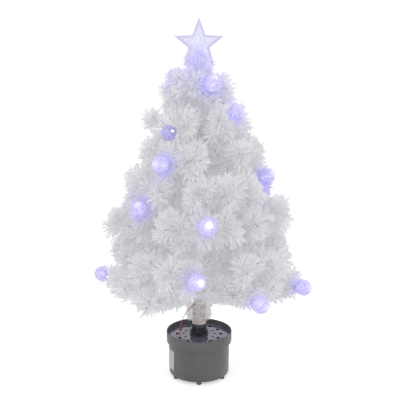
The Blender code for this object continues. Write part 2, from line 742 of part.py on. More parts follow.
class Sprig:
    """One twisted-wire brush: its axis points, the brush radius at each, and the light that some end in."""

    def __init__(self, start, control, end, plume, bare, ball=None):
        self.ball = ball
        length = (end - start).length
        reserve = BALL_RADIUS + BALL_NECK + LIGHT_STAND if ball is not None else 0
        steps = max(round((length - bare - reserve) / PLUME_STEP), 2)
        dense = curve_points(start, control, end, CURVE_SAMPLES)
        marks = [0, bare] + [
            bare + (length - bare - reserve) * (step + 1) / steps for step in range(steps)
        ]
        self.points = []
        for mark in marks:
            share = mark / length * (len(dense) - 1)
            low = min(int(share), len(dense) - 2)
            self.points.append(dense[low].lerp(dense[low + 1], share - low))
        wire = WIRE_RADIUS
        tip_share = PLUME_TIP_SHARE if ball is None else LIGHT_TIP_SHARE
        self.radii = [wire, wire] + [plume] * (steps - 1) + [plume * tip_share]
        self.fluted = [False, False] + [True] * (steps - 1) + [False]
        self.direction = (dense[-1] - dense[-3]).normalized()
        if ball is not None:
            for back, radius in (
                (reserve - SLIDE_GAP, WIRE_TIP_RADIUS),
                (BALL_RADIUS + BALL_NECK, WIRE_TIP_RADIUS),
                (BALL_RADIUS + BALL_NECK - SLIDE_GAP, LED_RADIUS),
                (BALL_RADIUS - LED_REACH + LED_DOME, LED_RADIUS),
                (BALL_RADIUS - LED_REACH, LED_RADIUS * LED_TIP_SHARE),
            ):
                self.points.append(end - self.direction * back)
                self.radii.append(radius)
                self.fluted.append(False)
            self.centre = end

    def runs(self):
        """Its length as straight runs up to its last needle, each with the widest radius along it."""
        rows = list(zip(self.points, self.points[1:], map(max, self.radii, self.radii[1:])))
        if self.fluted[-2]:
            rows.append((self.points[-1], self.points[-1] + self.direction * TIP_NEEDLE, self.radii[-1]))
        return rows

    def tangent(self, index):
        low, high = max(index - 1, 0), min(index + 1, len(self.points) - 1)
        return (self.points[high] - self.points[low]).normalized()


def segment_gap(a, b, c, d):
    """The least distance between the segments a-b and c-d."""
    u, v, w = b - a, d - c, a - c
    uu, uv, vv, uw, vw = u.dot(u), u.dot(v), v.dot(v), u.dot(w), v.dot(w)
    span = uu * vv - uv * uv
    s = min(max((uv * vw - vv * uw) / span, 0), 1) if span > 0 else 0
    t = (uv * s + vw) / vv if vv > 0 else 0
    t = min(max(t, 0), 1)
    s = min(max((uv * t - uw) / uu, 0), 1) if uu > 0 else 0
    return (w + u * s - v * t).length


def fit_plumes(boughs):
    """Narrows each brush where another bough's brush or a light stands near it."""
    near = 2 * (PLUME_RADIUS + PLUME_STEP)
    runs, lights = [], []
    for name, sprigs in boughs.items():
        for sprig in sprigs:
            runs += [(name, a, b) for a, b, radius in sprig.runs()]
            if sprig.ball is not None:
                lights.append((sprig, sprig.centre))
    for name, sprigs in boughs.items():
        for sprig in sprigs:
            own_runs = sprig.runs()
            for index, here in enumerate(sprig.points):
                if index < 2 or not (sprig.fluted[index] or sprig.fluted[index - 1]):
                    continue
                own = [(a, b) for a, b, radius in own_runs[index - 1 : index + 1]]
                close = [(a, b) for other, a, b in runs if other != name and (a - here).length < near]
                gaps = [(segment_gap(*ends, *others) - PLUME_CLEAR) / 2 for ends in own for others in close]
                gaps += [
                    segment_gap(*ends, centre, centre) - BALL_RADIUS - PLUME_CLEAR
                    for ends in own
                    for other, centre in lights
                    if other is not sprig
                ]
                sprig.radii[index] = min(gaps + [sprig.radii[index]])


class Strands:
    """Needles drawn out of brush faces. Each stays clear of every other brush, light and needle."""

    def __init__(self):
        self.solids = []
        self.grown = []

    def add_solid(self, owner, a, b, radius):
        self.solids.append((owner, a, b, radius))

    def is_clear(self, base, tip, owner):
        middle = (base + tip) / 2
        near = NEEDLE_LENGTH + PLUME_STEP + BALL_RADIUS
        for other, a, b, radius in self.solids:
            if other is owner and owner is not None:
                continue
            if ((a + b) / 2 - middle).length < near and segment_gap(base, tip, a, b) < radius + NEEDLE_CLEAR:
                return False
        for a, b in self.grown:
            if (a - base).length < 2 * NEEDLE_LENGTH and segment_gap(base, tip, a, b) < 2 * NEEDLE_CLEAR:
                return False
        return True

    def grow(self, bm, face, axis_point, tangent, owner, length):
        base = face.calc_center_median()
        radial = (base - axis_point - tangent * (base - axis_point).dot(tangent)).normalized()
        aim = radial * math.cos(NEEDLE_LEAN) + tangent * math.sin(NEEDLE_LEAN)
        tip = axis_point + aim * length
        if not self.is_clear(base, tip, owner):
            return False
        self.grown.append((base, tip))
        bmesh.ops.poke(bm, faces=[face])["verts"][0].co = tip
        return True


def ring_points(sprig, index):
    """The points of one ring: fluted and twisted along the brush, plain on the wire."""
    tangent = sprig.tangent(index)
    side = tangent.cross(UP) if abs(tangent.z) < 0.9 else tangent.cross(Vector((0, 1, 0)))
    side.normalize()
    over = side.cross(tangent)
    twist = index * FLUTE_TWIST
    points = []
    for corner in range(FLUTE_SIDES):
        angle = corner * 2 * math.pi / FLUTE_SIDES + twist
        radius = sprig.radii[index]
        if sprig.fluted[index] and corner % 2:
            radius *= FLUTE_SHARE
        points.append(sprig.points[index] + (side * math.cos(angle) + over * math.sin(angle)) * radius)
    return points


def sprig_mesh(sprig, needles, strands):
    """The brush as rings extruded from the root, with needles drawn out of its faces."""
    bm = bmesh.new()
    rings = [ring_points(sprig, index) for index in range(len(sprig.points))]
    face = bm.faces.new([bm.verts.new(point) for point in rings[0]])
    walls = []
    for previous, ring in zip(rings, rings[1:]):
        face = bmesh.ops.extrude_discrete_faces(bm, faces=[face])["faces"][0]
        order = [min(range(FLUTE_SIDES), key=lambda k: (vert.co - previous[k]).length) for vert in face.verts]
        row = {}
        for loop, corner in zip(face.loops, order):
            row[corner] = next(other for other in loop.edge.link_faces if other is not face)
        for vert, corner in zip(face.verts, order):
            vert.co = ring[corner]
        walls.append(row)
    bmesh.ops.holes_fill(bm, edges=[edge for edge in bm.edges if edge.is_boundary], sides=FLUTE_SIDES)
    if sprig.fluted[-2]:
        bmesh.ops.poke(bm, faces=[face])["verts"][0].co += sprig.direction * TIP_NEEDLE
    bmesh.ops.recalc_face_normals(bm, faces=bm.faces)
    last = max(index for index, fluted in enumerate(sprig.fluted) if fluted)
    rows = list(range(1, last + 1))
    left = needles
    for lap in range(FLUTE_SIDES // 2):
        for row in rows:
            corner = (3 * row + 2 * lap + 3 * (lap % 2)) % FLUTE_SIDES
            wall = walls[row].get(corner)
            if left == 0 or wall is None or not wall.is_valid or len(wall.verts) != 4:
                continue
            axis_point = (sprig.points[row] + sprig.points[row + 1]) / 2
            tangent = (sprig.points[row + 1] - sprig.points[row]).normalized()
            if strands.grow(bm, wall, axis_point, tangent, sprig, NEEDLE_LENGTH):
                left -= 1
    return bm


def placed_tips(tier, index, twigs, azimuths, reach_shares, rise_shares):
    """Where one table puts the ends of a bough's twigs, by twig."""
    reach = LOWEST_REACH * TIER_REACH_SHARES[tier]
    rise = TIP_RISE * TIER_RISE_SHARES[tier]
    tips = {}
    for (row, bough, twig), azimuth, *shares in zip(twigs, azimuths, reach_shares, rise_shares):
        if (row - 1, bough - 1) == (tier, index):
            tips[twig] = polar(azimuth, reach * shares[0], tier_height(tier) + rise * shares[1])
    return tips


def bough_sprigs(tier, index):
    """The stem and the two side twigs of one bough. A twig that carries a light ends in its centre."""
    root_height = tier_height(tier)
    reach = LOWEST_REACH * TIER_REACH_SHARES[tier]
    rise = TIP_RISE * TIER_RISE_SHARES[tier]
    azimuth = TIER_FIRST_AZIMUTHS[tier] + index * 2 * math.pi / TIER_COUNTS[tier]
    root = polar(azimuth, pole_radius(root_height) + BAND_THICKNESS + ROOT_GAP, root_height)
    lights = placed_tips(tier, index, BALL_TWIGS, BALL_AZIMUTHS, BALL_REACH_SHARES, BALL_RISE_SHARES)
    bent = placed_tips(tier, index, BENT_TWIGS, BENT_AZIMUTHS, BENT_REACH_SHARES, BENT_RISE_SHARES)
    tips = {0: polar(azimuth, reach, root_height + rise)}
    for side in (-1, 1):
        tips[side] = polar(azimuth + side * TWIG_SPREADS[tier], reach * TWIG_REACH_SHARE, root_height + rise)
    tips.update(bent)
    tips.update(lights)
    out = polar(azimuth, 1, 0)
    control = root + out * (reach / 2) + UP * (rise * ARCH_SHARE)
    sprigs = [Sprig(root, control, tips[0], PLUME_RADIUS, BARE_WIRE, lights.get(0))]
    for side in (-1, 1):
        start = curve_points(root, control, tips[0], CURVE_SAMPLES)[round(CURVE_SAMPLES * TWIG_START_SHARE)]
        ahead = start + out * ((tips[side] - start).length / 2) + UP * (rise * ARCH_SHARE)
        sprigs.append(Sprig(start, ahead, tips[side], TWIG_PLUME_RADIUS, WIRE_RADIUS, lights.get(side)))
    return sprigs


def treetop_sprigs():
    base = Vector((0, 0, POLE_TOP + SEAT_GAP))
    top = Vector((0, 0, LEADER_TOP))
    leader = Sprig(base, (base + top) / 2, top, LEADER_PLUME_RADIUS, BARE_WIRE / 2)
    leader.points.append(Vector((0, 0, LEADER_TOP + LEADER_PIN)))
    leader.radii[0] = POLE_TOP_RADIUS - BAND_THICKNESS
    leader.radii[-1] = WIRE_TIP_RADIUS
    leader.radii.append(WIRE_TIP_RADIUS)
    leader.fluted.append(False)
    sprigs = [leader]
    start = Vector((0, 0, TOP_TWIG_START))
    for index, azimuth in enumerate(TOP_TWIG_AZIMUTHS):
        ball = None
        tip = polar(azimuth, TOP_TWIG_REACH, TOP_TWIG_HEIGHT)
        if index in TOP_BALL_TWIGS:
            reach = TOP_TWIG_REACH * TOP_BALL_REACH_SHARES[index]
            rise = TOP_TWIG_RISE * TOP_BALL_RISE_SHARES[index]
            ball = polar(azimuth, reach, TOP_TWIG_START + rise)
            tip = ball
        control = start + polar(azimuth, TOP_TWIG_REACH / 2, 0)
        sprigs.append(Sprig(start, control, tip, TOP_TWIG_PLUME_RADIUS, WIRE_RADIUS, ball))
    return sprigs


def make_brush(name, sprigs, counts, strands, material):
    """The sprigs of one bough joined into one brush, whose origin is where it leaves the trunk."""
    root = sprigs[0].points[0]
    place = Matrix.Translation(root)
    meshes = [sprig_mesh(sprig, count, strands) for sprig, count in zip(sprigs, counts)]
    for bm in meshes:
        bmesh.ops.translate(bm, vec=-root, verts=bm.verts)
    brush = add_object(name, meshes[0], material, place, smooth=False)
    for index, bm in enumerate(meshes[1:]):
        twig = add_object(f"{name}_twig_{index + 1}", bm, None, place, smooth=False, cutter=True)
        add_boolean(brush, twig, "UNION")
    return brush


def globe_arc(radius, neck, rings):
    """Half a circle's profile from its top down to where it meets a neck below."""
    last = math.pi - math.asin(neck / radius)
    angles = [last * ring / (rings + 1) for ring in range(1, rings + 1)]
    arc = [(radius * math.sin(angle), radius * math.cos(angle)) for angle in angles]
    return [(0, radius)] + arc + [(neck, radius * math.cos(last))]


def make_ball(name, sprig, material):
    """A clear globe, open at the neck where its light goes in."""
    neck_bore = LED_RADIUS + SLIDE_GAP
    neck_low = -BALL_RADIUS - BALL_NECK + SLIDE_GAP
    profile = globe_arc(BALL_RADIUS, BALL_NECK_RADIUS, BALL_RINGS)
    profile += [(BALL_NECK_RADIUS, neck_low), (neck_bore, neck_low)]
    profile += reversed(globe_arc(BALL_RADIUS - BALL_WALL, neck_bore, BALL_INNER_RINGS))
    turn = UP.rotation_difference(sprig.direction).to_matrix().to_4x4()
    return add_turned(name, profile, BALL_SEGMENTS, material, Matrix.Translation(sprig.centre) @ turn)


def star_half(side):
    """One ridged half of the star: a thin shell whose ridges run to the points."""
    bm = bmesh.new()
    rings = []
    for share in (1, STAR_HOLLOW_SHARE):
        ring = []
        for index in range(2 * STAR_POINTS):
            radius = STAR_RADIUS * (STAR_NOTCH_SHARE if index % 2 else 1) * share
            angle = index * math.pi / STAR_POINTS
            x, z = radius * math.sin(angle), radius * math.cos(angle)
            ring.append(bm.verts.new((x, side * SEAT_GAP / 2, z)))
        rings.append(ring)
    peaks = [bm.verts.new((0, side * STAR_DEPTH, 0)), bm.verts.new((0, side * (STAR_DEPTH - STAR_WALL), 0))]
    count = 2 * STAR_POINTS
    for ring, peak in zip(rings, peaks):
        for index in range(count):
            bm.faces.new((ring[index], ring[(index + 1) % count], peak))
    for index in range(count):
        after = (index + 1) % count
        bm.faces.new((rings[0][index], rings[0][after], rings[1][after], rings[1][index]))
    return bm


def make_star(clear_material, holder_material):
    matrix = Matrix.Translation((0, 0, STAR_HEIGHT))
    halves = []
    for name, side in (("star_front", -1), ("star_back", 1)):
        half = add_object(name, star_half(side), clear_material, matrix, smooth=False)
        bm = bmesh.new()
        low = STAR_HEIGHT - STAR_RADIUS
        high = STAR_HEIGHT - STAR_HOLDER_TOP_GAP + SLIDE_GAP
        add_rod(bm, STAR_HOLDER_RADIUS + SEAT_GAP, low, high, 0, 0, 12)
        add_boolean(half, add_object(f"{name}_cutter", bm, None, cutter=True), "DIFFERENCE")
        halves.append(half)
    low = LEADER_TOP + LEADER_PIN - STAR_HOLDER_BORE
    bore = WIRE_TIP_RADIUS + SEAT_GAP
    top = STAR_HEIGHT - STAR_HOLDER_TOP_GAP
    holder = add_turned(
        "star_holder",
        [
            (0, LEADER_TOP + LEADER_PIN + SEAT_GAP),
            (bore, LEADER_TOP + LEADER_PIN + SEAT_GAP),
            (bore, low),
            (STAR_HOLDER_FLARE, low),
            (STAR_HOLDER_RADIUS, low + STAR_HOLDER_FLARE_LENGTH),
            (STAR_HOLDER_RADIUS, top - STAR_HOLDER_RADIUS),
            (STAR_HOLDER_RADIUS * STAR_HOLDER_TIP_SHARE, top),
            (0, top),
        ],
        12,
        holder_material,
    )
    return [*halves, holder]


def lead_start():
    top = FLOOR + BOARD_LIFT + BOARD_THICKNESS + CONNECTOR_HEIGHT + SEAT_GAP
    x, y = SLOT_CIRCLE * math.cos(LEAD_SLOT_ANGLE), SLOT_CIRCLE * math.sin(LEAD_SLOT_ANGLE)
    return Vector((x, y, top))


def lead_points():
    """The lead's route, smoothed: up from the board through a slot, then over to the trunk."""
    start = lead_start()
    out = Vector((math.cos(LEAD_TRUNK_ANGLE), math.sin(LEAD_TRUNK_ANGLE), 0))
    end = out * (FERRULE_RADIUS + SLIDE_GAP) + UP * LEAD_TRUNK_HEIGHT
    slot = Vector((start.x, start.y, PLATE_TOP))
    run = end - slot
    route = [start, start + UP * LEAD_END_RUN, Vector((start.x, start.y, PLATE_BOTTOM - LEAD_STEP))]
    for shares in LEAD_PLACE_SHARES:
        route.append(slot + Vector([part * share for part, share in zip(run, shares)]))
    route += [end + out * LEAD_END_RUN, end]
    points = []
    for index in range(len(route) - 1):
        before = route[max(index - 1, 0)]
        after = route[min(index + 2, len(route) - 1)]
        a, b = route[index], route[index + 1]
        count = max(round((b - a).length / LEAD_STEP), 1)
        pull = (b - a).length / 3
        first = a + (b - before).normalized() * pull
        second = b - (after - a).normalized() * pull
        points += interpolate_bezier(a, first, second, b, count + 1)[:-1]
    return points + [route[-1]]


def make_lead(material):
    curve = bpy.data.curves.new("red_lead", "CURVE")
    curve.dimensions = "3D"
    curve.bevel_depth = LEAD_RADIUS
    curve.bevel_resolution = 2
    curve.use_fill_caps = True
    spline = curve.splines.new("POLY")
    points = lead_points()
    spline.points.add(len(points) - 1)
    for point, place in zip(spline.points, points):
        point.co = (*place, 1)
    curve.materials.append(material)
    bpy.context.scene.collection.objects.link(bpy.data.objects.new("red_lead", curve))


def main():
    clear_scene()
    grey = make_material("grey_plastic", (0.115, 0.115, 0.12), 0.45)
    plate_grey = make_material("plate_plastic", (0.16, 0.16, 0.175), 0.12)
    black = make_material("black_plastic", (0.03, 0.03, 0.035), 0.3)
    ceramic = make_material("ceramic", (0.8, 0.78, 0.72), 0.6)
    mirror = make_material("lamp_dish", (0.9, 0.9, 0.88), 0.15, 0.8)
    film = make_material("colour_film", (0.5, 0.45, 0.9), 0.1, 0, 0.8)
    steel = make_material("plated_steel", (0.6, 0.6, 0.62), 0.35, 1)
    green = make_material("circuit_board", (0.05, 0.25, 0.12), 0.5)
    fibre = make_material("clear_fibre", (0.92, 0.94, 0.98), 0.05, 0, 0.6)
    jacket = make_material("white_jacket", (0.78, 0.72, 0.74), 0.5)
    needle = make_material("white_needles", (0.84, 0.84, 0.87), 0.6)
    globe = make_material("clear_globe", (0.78, 0.76, 1), 0.08, 0, 0.9, 0.6)
    star = make_material("clear_star", (0.8, 0.8, 0.98), 0.1, 0, 0.9, 0.2)
    red = make_material("red_wire", (0.6, 0.03, 0.03), 0.4)

    make_pot(grey)
    make_bottom_cover(grey)
    make_vent_plate(plate_grey)
    make_socket_collar(black)
    make_lamp(ceramic, mirror)
    make_colour_wheel(film, black)
    make_motor(steel, steel)
    make_driver_board(green)
    make_power_inlet(black)
    make_lead(red)
    ferrule, bundle = make_ferrule(black, fibre)

    strands = Strands()
    boughs = {}
    for tier, count in enumerate(TIER_COUNTS):
        for index in range(count):
            boughs[f"bough_{tier + 1}_{index + 1}"] = bough_sprigs(tier, index)
    boughs["treetop"] = treetop_sprigs()
    fit_plumes(boughs)
    for sprigs in boughs.values():
        for sprig in sprigs:
            for a, b, radius in sprig.runs()[1:]:
                strands.add_solid(sprig, a, b, radius)
            if sprig.ball is not None:
                strands.add_solid(None, sprig.centre, sprig.centre, BALL_RADIUS)
                strands.add_solid(None, sprig.points[-4], sprig.centre, BALL_NECK_RADIUS)
    lead = lead_points()
    for a, b in zip(lead, lead[1:]):
        strands.add_solid(None, a, b, LEAD_RADIUS)
    strands.add_solid(None, UP * (LEADER_TOP + LEADER_PIN / 4), UP * STAR_HEIGHT, STAR_HOLDER_FLARE)

    brushes, balls = [], 0
    for name, sprigs in boughs.items():
        counts = [STEM_NEEDLES] + [TWIG_NEEDLES] * (len(sprigs) - 1)
        brush = make_brush(name, sprigs, counts, strands, needle)
        brushes.append(brush)
        for sprig in sprigs:
            if sprig.ball is not None:
                balls += 1
                attach(brush, make_ball(f"ball_{balls}", sprig, globe))
    pole = make_trunk_pole(jacket, strands)
    attach(pole, ferrule, bundle, *brushes, *make_star(star, black))
    print(len(strands.grown), "needles")


main()
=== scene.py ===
# White lit tabletop tree in its vented base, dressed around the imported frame.
import random
from math import asin, atan2, cos, degrees, pi, radians, sin, sqrt

import bmesh
import bpy
import numpy as np
from mathutils import Matrix, Vector
from mathutils.geometry import interpolate_bezier


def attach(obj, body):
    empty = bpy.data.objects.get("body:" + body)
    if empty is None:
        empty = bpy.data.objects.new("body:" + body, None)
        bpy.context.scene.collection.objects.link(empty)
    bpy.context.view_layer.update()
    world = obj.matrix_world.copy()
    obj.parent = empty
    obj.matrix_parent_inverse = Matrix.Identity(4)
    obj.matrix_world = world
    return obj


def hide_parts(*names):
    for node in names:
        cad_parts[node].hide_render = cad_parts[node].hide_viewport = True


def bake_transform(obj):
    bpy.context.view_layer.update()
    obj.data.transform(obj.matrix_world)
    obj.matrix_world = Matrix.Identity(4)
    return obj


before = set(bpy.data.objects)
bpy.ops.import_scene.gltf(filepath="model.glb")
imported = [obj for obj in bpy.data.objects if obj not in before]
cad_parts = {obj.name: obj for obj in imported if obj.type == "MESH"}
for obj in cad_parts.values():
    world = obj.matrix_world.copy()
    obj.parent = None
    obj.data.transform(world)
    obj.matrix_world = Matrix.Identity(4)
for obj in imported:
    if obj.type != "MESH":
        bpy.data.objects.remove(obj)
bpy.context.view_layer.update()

mm = 0.001
up = Vector((0, 0, 1))
goldenAngle = pi * (3 - sqrt(5))

# camera, floor and light

view = {"place": (0.0024, -1.84, 0.863), "tiltDown": 12.3, "lens": 68.2, "sensor": 36, "clip": 0.05}
light = {"ambient": 0.72, "floorLift": 0.5}
lamps = {
    # place, size, power, aim
    "keyLamp": ((-1.5, -2.3, 2.3), 1.6, 13, (0, 0, 0.45)), "fillLamp": ((2.2, -1.6, 1.4), 1.8, 6, (0, 0, 0.45)),
    "topLamp": ((0.2, 0.9, 2.6), 1.6, 8, (0, 0, 0.45)), "sideLamp": ((1.7, 1.3, 0.3), 0.5, 2.5, (0, 0, 0.1)),
}


def addObject(name, data):
    obj = bpy.data.objects.new(name, data)
    bpy.context.scene.collection.objects.link(obj)
    return obj


def setCamera():
    data = bpy.data.cameras.new("camera")
    data.sensor_width = view["sensor"]
    data.lens = view["lens"]
    data.clip_start = view["clip"]
    camera = addObject("camera", data)
    camera.location = view["place"]
    camera.rotation_euler = (radians(90 - view["tiltDown"]), 0, 0)
    bpy.context.scene.camera = camera


def setInputs(node, values):
    # each value is a number, a colour or another node's output
    for key, value in values.items():
        if isinstance(value, bpy.types.NodeSocket):
            node.id_data.links.new(value, node.inputs[key])
        else:
            node.inputs[key].default_value = value


def addNode(tree, kind, values=None, **settings):
    node = tree.nodes.new(kind)
    for key, value in settings.items():
        setattr(node, key, value)
    setInputs(node, values or {})
    return node


def seenDirectly(tree):
    # 1 for camera, glossy and transmission rays, so that the white background shows in them too
    path = addNode(tree, "ShaderNodeLightPath").outputs
    most = path["Is Camera Ray"]
    for ray in ("Is Glossy Ray", "Is Transmission Ray"):
        most = addNode(tree, "ShaderNodeMath", {0: most, 1: path[ray]}, operation="MAXIMUM").outputs[0]
    return most


def setWorld():
    world = bpy.data.worlds.new("studio")
    world.use_nodes = True
    tree = world.node_tree
    tree.nodes.clear()
    soft = addNode(tree, "ShaderNodeBackground", {"Color": (1, 1, 1, 1), "Strength": light["ambient"]})
    white = addNode(tree, "ShaderNodeBackground", {"Color": (1, 1, 1, 1), "Strength": 1})
    mix = addNode(tree, "ShaderNodeMixShader", {0: seenDirectly(tree), 1: soft.outputs[0], 2: white.outputs[0]})
    addNode(tree, "ShaderNodeOutputWorld", {0: mix.outputs[0]})
    bpy.context.scene.world = world


def setLamp(name, place, size, power, aim):
    data = bpy.data.lights.new(name, "AREA")
    data.shape = "DISK"
    data.size = size
    data.energy = power
    lamp = addObject(name, data)
    lamp.location = place
    lamp.rotation_euler = (Vector(aim) - Vector(place)).to_track_quat("-Z", "Y").to_euler()


def paleFloor(tree):
    lift = addNode(tree, "ShaderNodeMath", {0: seenDirectly(tree), 1: light["floorLift"]}, operation="MULTIPLY")
    return {
        "Base Color": (0.9, 0.9, 0.9, 1), "Roughness": 0.8, "Specular IOR Level": 0,
        "Emission Color": (1, 1, 1, 1), "Emission Strength": lift.outputs[0],
    }


def setFloor():
    bm = bmesh.new()
    bmesh.ops.create_grid(bm, x_segments=1, y_segments=1, size=6)
    mesh = meshOf(bm)
    mesh.materials.append(newMaterial("paleFloor", paleFloor))
    addObject("studioFloor", mesh)


def newMaterial(name, recipe, *facts):
    # the recipe adds its nodes to the tree and gives what the shader's inputs take
    material = bpy.data.materials.new(name)
    material.use_nodes = True
    setInputs(material.node_tree.nodes["Principled BSDF"], recipe(material.node_tree, *facts))
    return material


# materials: each has colour, roughness and relief from its own nodes

def coordsOf(tree):
    return addNode(tree, "ShaderNodeTexCoord").outputs["Object"]


def noiseOf(tree, scale, detail=4, roughness=0.55, stretch=(1, 1, 1)):
    mapping = addNode(tree, "ShaderNodeMapping", {"Vector": coordsOf(tree), "Scale": stretch})
    return addNode(tree, "ShaderNodeTexNoise", {
        "Vector": mapping.outputs[0], "Scale": scale, "Detail": detail, "Roughness": roughness,
    }).outputs["Fac"]


def rampOf(tree, fac, stops):
    ramp = addNode(tree, "ShaderNodeValToRGB", {"Fac": fac})
    elements = ramp.color_ramp.elements
    while len(elements) < len(stops):
        elements.new(0.5)
    for element, (place, color) in zip(elements, stops):
        element.position = place
        element.color = (*color, 1)
    return ramp.outputs["Color"]


def rangeOf(tree, fac, low, high, fromLow=0.3, fromHigh=0.7):
    return addNode(tree, "ShaderNodeMapRange", {
        "Value": fac, "From Min": fromLow, "From Max": fromHigh, "To Min": low, "To Max": high,
    }).outputs["Result"]


def bumpOf(tree, height, distance, strength=1.0):
    return addNode(tree, "ShaderNodeBump", {"Height": height, "Strength": strength, "Distance": distance}).outputs[0]


def mouldedPlastic(tree, dark, pale, rough, grain=900, relief=0.00004, cloud=14, ior=1.5):
    return {
        "IOR": ior,
        "Base Color": rampOf(tree, noiseOf(tree, cloud), [(0.32, dark), (0.7, pale)]),
        "Roughness": rangeOf(tree, noiseOf(tree, cloud * 4), *rough),
        "Normal": bumpOf(tree, noiseOf(tree, grain, 2), relief),
    }


def metalFinish(tree, dark, pale, rough, stretch=(1, 1, 30)):
    brushed = noiseOf(tree, 120, 3, 0.6, stretch)
    return {
        "Metallic": 1,
        "Base Color": rampOf(tree, brushed, [(0.3, dark), (0.7, pale)]),
        "Roughness": rangeOf(tree, brushed, *rough),
        "Normal": bumpOf(tree, brushed, 0.00002),
    }


def attributeOf(tree, name):
    return addNode(tree, "ShaderNodeAttribute", attribute_name=name).outputs["Fac"]


def mixColor(tree, fac, first, second, blend="MIX"):
    first, second = ((*color, 1) if isinstance(color, tuple) else color for color in (first, second))
    node = addNode(tree, "ShaderNodeMix", {0: fac, 6: first, 7: second}, data_type="RGBA", blend_type=blend)
    return node.outputs[2]


needleLook = {
    # the dark start of this ramp is painted shade where the needles leave the wire, deep in the brush
    "along": [
        (0, (0.36, 0.36, 0.46)), (0.1, (0.72, 0.72, 0.78)), (0.26, (0.87, 0.87, 0.89)), (1, (0.96, 0.96, 0.965)),
    ],
    # own and the glow strength after it are a painted, even glow that lifts the shade among the needles, which are no
    # lamps
    "shadeLow": 0.82, "own": (0.96, 0.96, 1.0), "paintedLiftGlow": 0.11, "lit": (0.58, 0.53, 0.98), "litGlow": 0.24,
}


def needleFilm(tree):
    # white film needles, each a little different: painted shade darkens them where they leave the wire, a painted
    # even glow lifts them all, and painted light of the lamps makes them violet where a lamp is near
    base = rampOf(tree, attributeOf(tree, "reach"), needleLook["along"])
    vary = rangeOf(tree, attributeOf(tree, "shade"), needleLook["shadeLow"], 1, 0, 1)
    grey = addNode(tree, "ShaderNodeCombineColor", {0: vary, 1: vary, 2: vary})
    shaded = mixColor(tree, 1, base, grey.outputs[0], "MULTIPLY")
    # glow is the painted violet light of the globes and the star, put into the needles' colour and glow
    lit = attributeOf(tree, "glow")
    return {
        "Base Color": mixColor(tree, lit, shaded, needleLook["lit"]),
        "Emission Color": mixColor(tree, lit, needleLook["own"], needleLook["lit"]),
        "Emission Strength": rangeOf(tree, lit, needleLook["paintedLiftGlow"], needleLook["litGlow"], 0, 1),
        "Roughness": rangeOf(tree, attributeOf(tree, "shade"), 0.3, 0.5, 0, 1),
    }


def twigWire(tree):
    # twisted wire seen through film, darker at its cut end
    veil = rampOf(tree, noiseOf(tree, 260, 3), [(0.3, (0.68, 0.68, 0.71)), (0.7, (0.84, 0.84, 0.86))])
    return {
        "Base Color": mixColor(tree, attributeOf(tree, "cut"), veil, (0.20, 0.20, 0.22)),
        "Roughness": rangeOf(tree, noiseOf(tree, 120), 0.35, 0.55),
    }


globeLook = {
    "clear": (0.92, 0.91, 1.0), "crack": (0.68, 0.64, 0.98), "glow": (0.70, 0.66, 1.0), "core": (1.0, 0.99, 1.0),
    "cells": 150, "glowLow": 0.05, "glowHigh": 0.17, "coreGlow": 0.6,
}


def globePlastic(tree):
    # thin clear plastic, crackled, that carries the violet light of the lamp in it, brightest at its far side
    g = globeLook
    cells = addNode(tree, "ShaderNodeTexVoronoi", {
        "Vector": coordsOf(tree), "Scale": g["cells"],
    }, feature="DISTANCE_TO_EDGE").outputs["Distance"]
    crack = rangeOf(tree, cells, 0, 1, 0, 0.12)
    core = attributeOf(tree, "core")
    mottled = rangeOf(tree, noiseOf(tree, 110, 3), g["glowLow"], g["glowHigh"])
    lifted = addNode(tree, "ShaderNodeMath", {0: core, 1: g["coreGlow"], 2: mottled}, operation="MULTIPLY_ADD")
    return {
        "Transmission Weight": 0.3, "IOR": 1.22,
        "Base Color": mixColor(tree, crack, g["clear"], g["crack"]),
        "Roughness": rangeOf(tree, crack, 0.3, 0.1, 0, 1),
        "Emission Color": mixColor(tree, core, g["glow"], g["core"]),
        "Emission Strength": lifted.outputs[0],
        "Normal": bumpOf(tree, cells, 0.0008, 0.7),
    }


def lampGlow(tree, color, low, high):
    return {
        "Base Color": (*color, 1), "Emission Color": (*color, 1), "Roughness": 0.3,
        "Emission Strength": rangeOf(tree, noiseOf(tree, 300, 2), low, high),
    }


starLook = {
    "flakes": 420, "dull": (0.74, 0.74, 0.94), "pale": (0.85, 0.85, 0.98), "spark": (0.98, 0.98, 1.0),
    "edge": (0.72, 0.71, 0.95), "glow": (0.72, 0.70, 1.0), "glowLow": 0.03, "glowHigh": 0.12,
}


def starPlastic(tree):
    # clear ribbed plastic with glitter in it, lit from behind; painted shade darkens it along its outline, where its
    # glow fades too
    s = starLook
    flakes = addNode(tree, "ShaderNodeTexVoronoi", {"Vector": coordsOf(tree), "Scale": s["flakes"]})
    tone = addNode(tree, "ShaderNodeSeparateColor", {0: flakes.outputs["Color"]})
    glitter = rampOf(tree, tone.outputs[0], [(0, s["dull"]), (0.55, s["pale"]), (0.9, s["spark"])])
    edge = rangeOf(tree, attributeOf(tree, "outward"), 0, 1, 0.6, 1)
    return {
        "Transmission Weight": 0.12, "IOR": 1.35, "Emission Color": (*s["glow"], 1),
        "Base Color": mixColor(tree, edge, glitter, s["edge"]),
        "Roughness": rangeOf(tree, tone.outputs[1], 0.1, 0.4, 0, 1),
        "Emission Strength": rangeOf(tree, edge, s["glowHigh"], s["glowLow"], 0, 1),
        "Normal": bumpOf(tree, flakes.outputs["Distance"], 0.0005, 0.5),
    }


def trunkFilm(tree):
    # pinkish white film wound round the trunk tube, with glitter and a few bare cream places
    wound = noiseOf(tree, 60, 5, 0.65, (1, 1, 3))
    stops = [(0.3, (0.50, 0.43, 0.43)), (0.5, (0.66, 0.60, 0.58)), (0.72, (0.80, 0.78, 0.76))]
    return {
        "Base Color": rampOf(tree, wound, stops),
        "Roughness": rangeOf(tree, noiseOf(tree, 400, 2), 0.25, 0.6),
        "Normal": bumpOf(tree, wound, 0.0006, 0.7),
    }


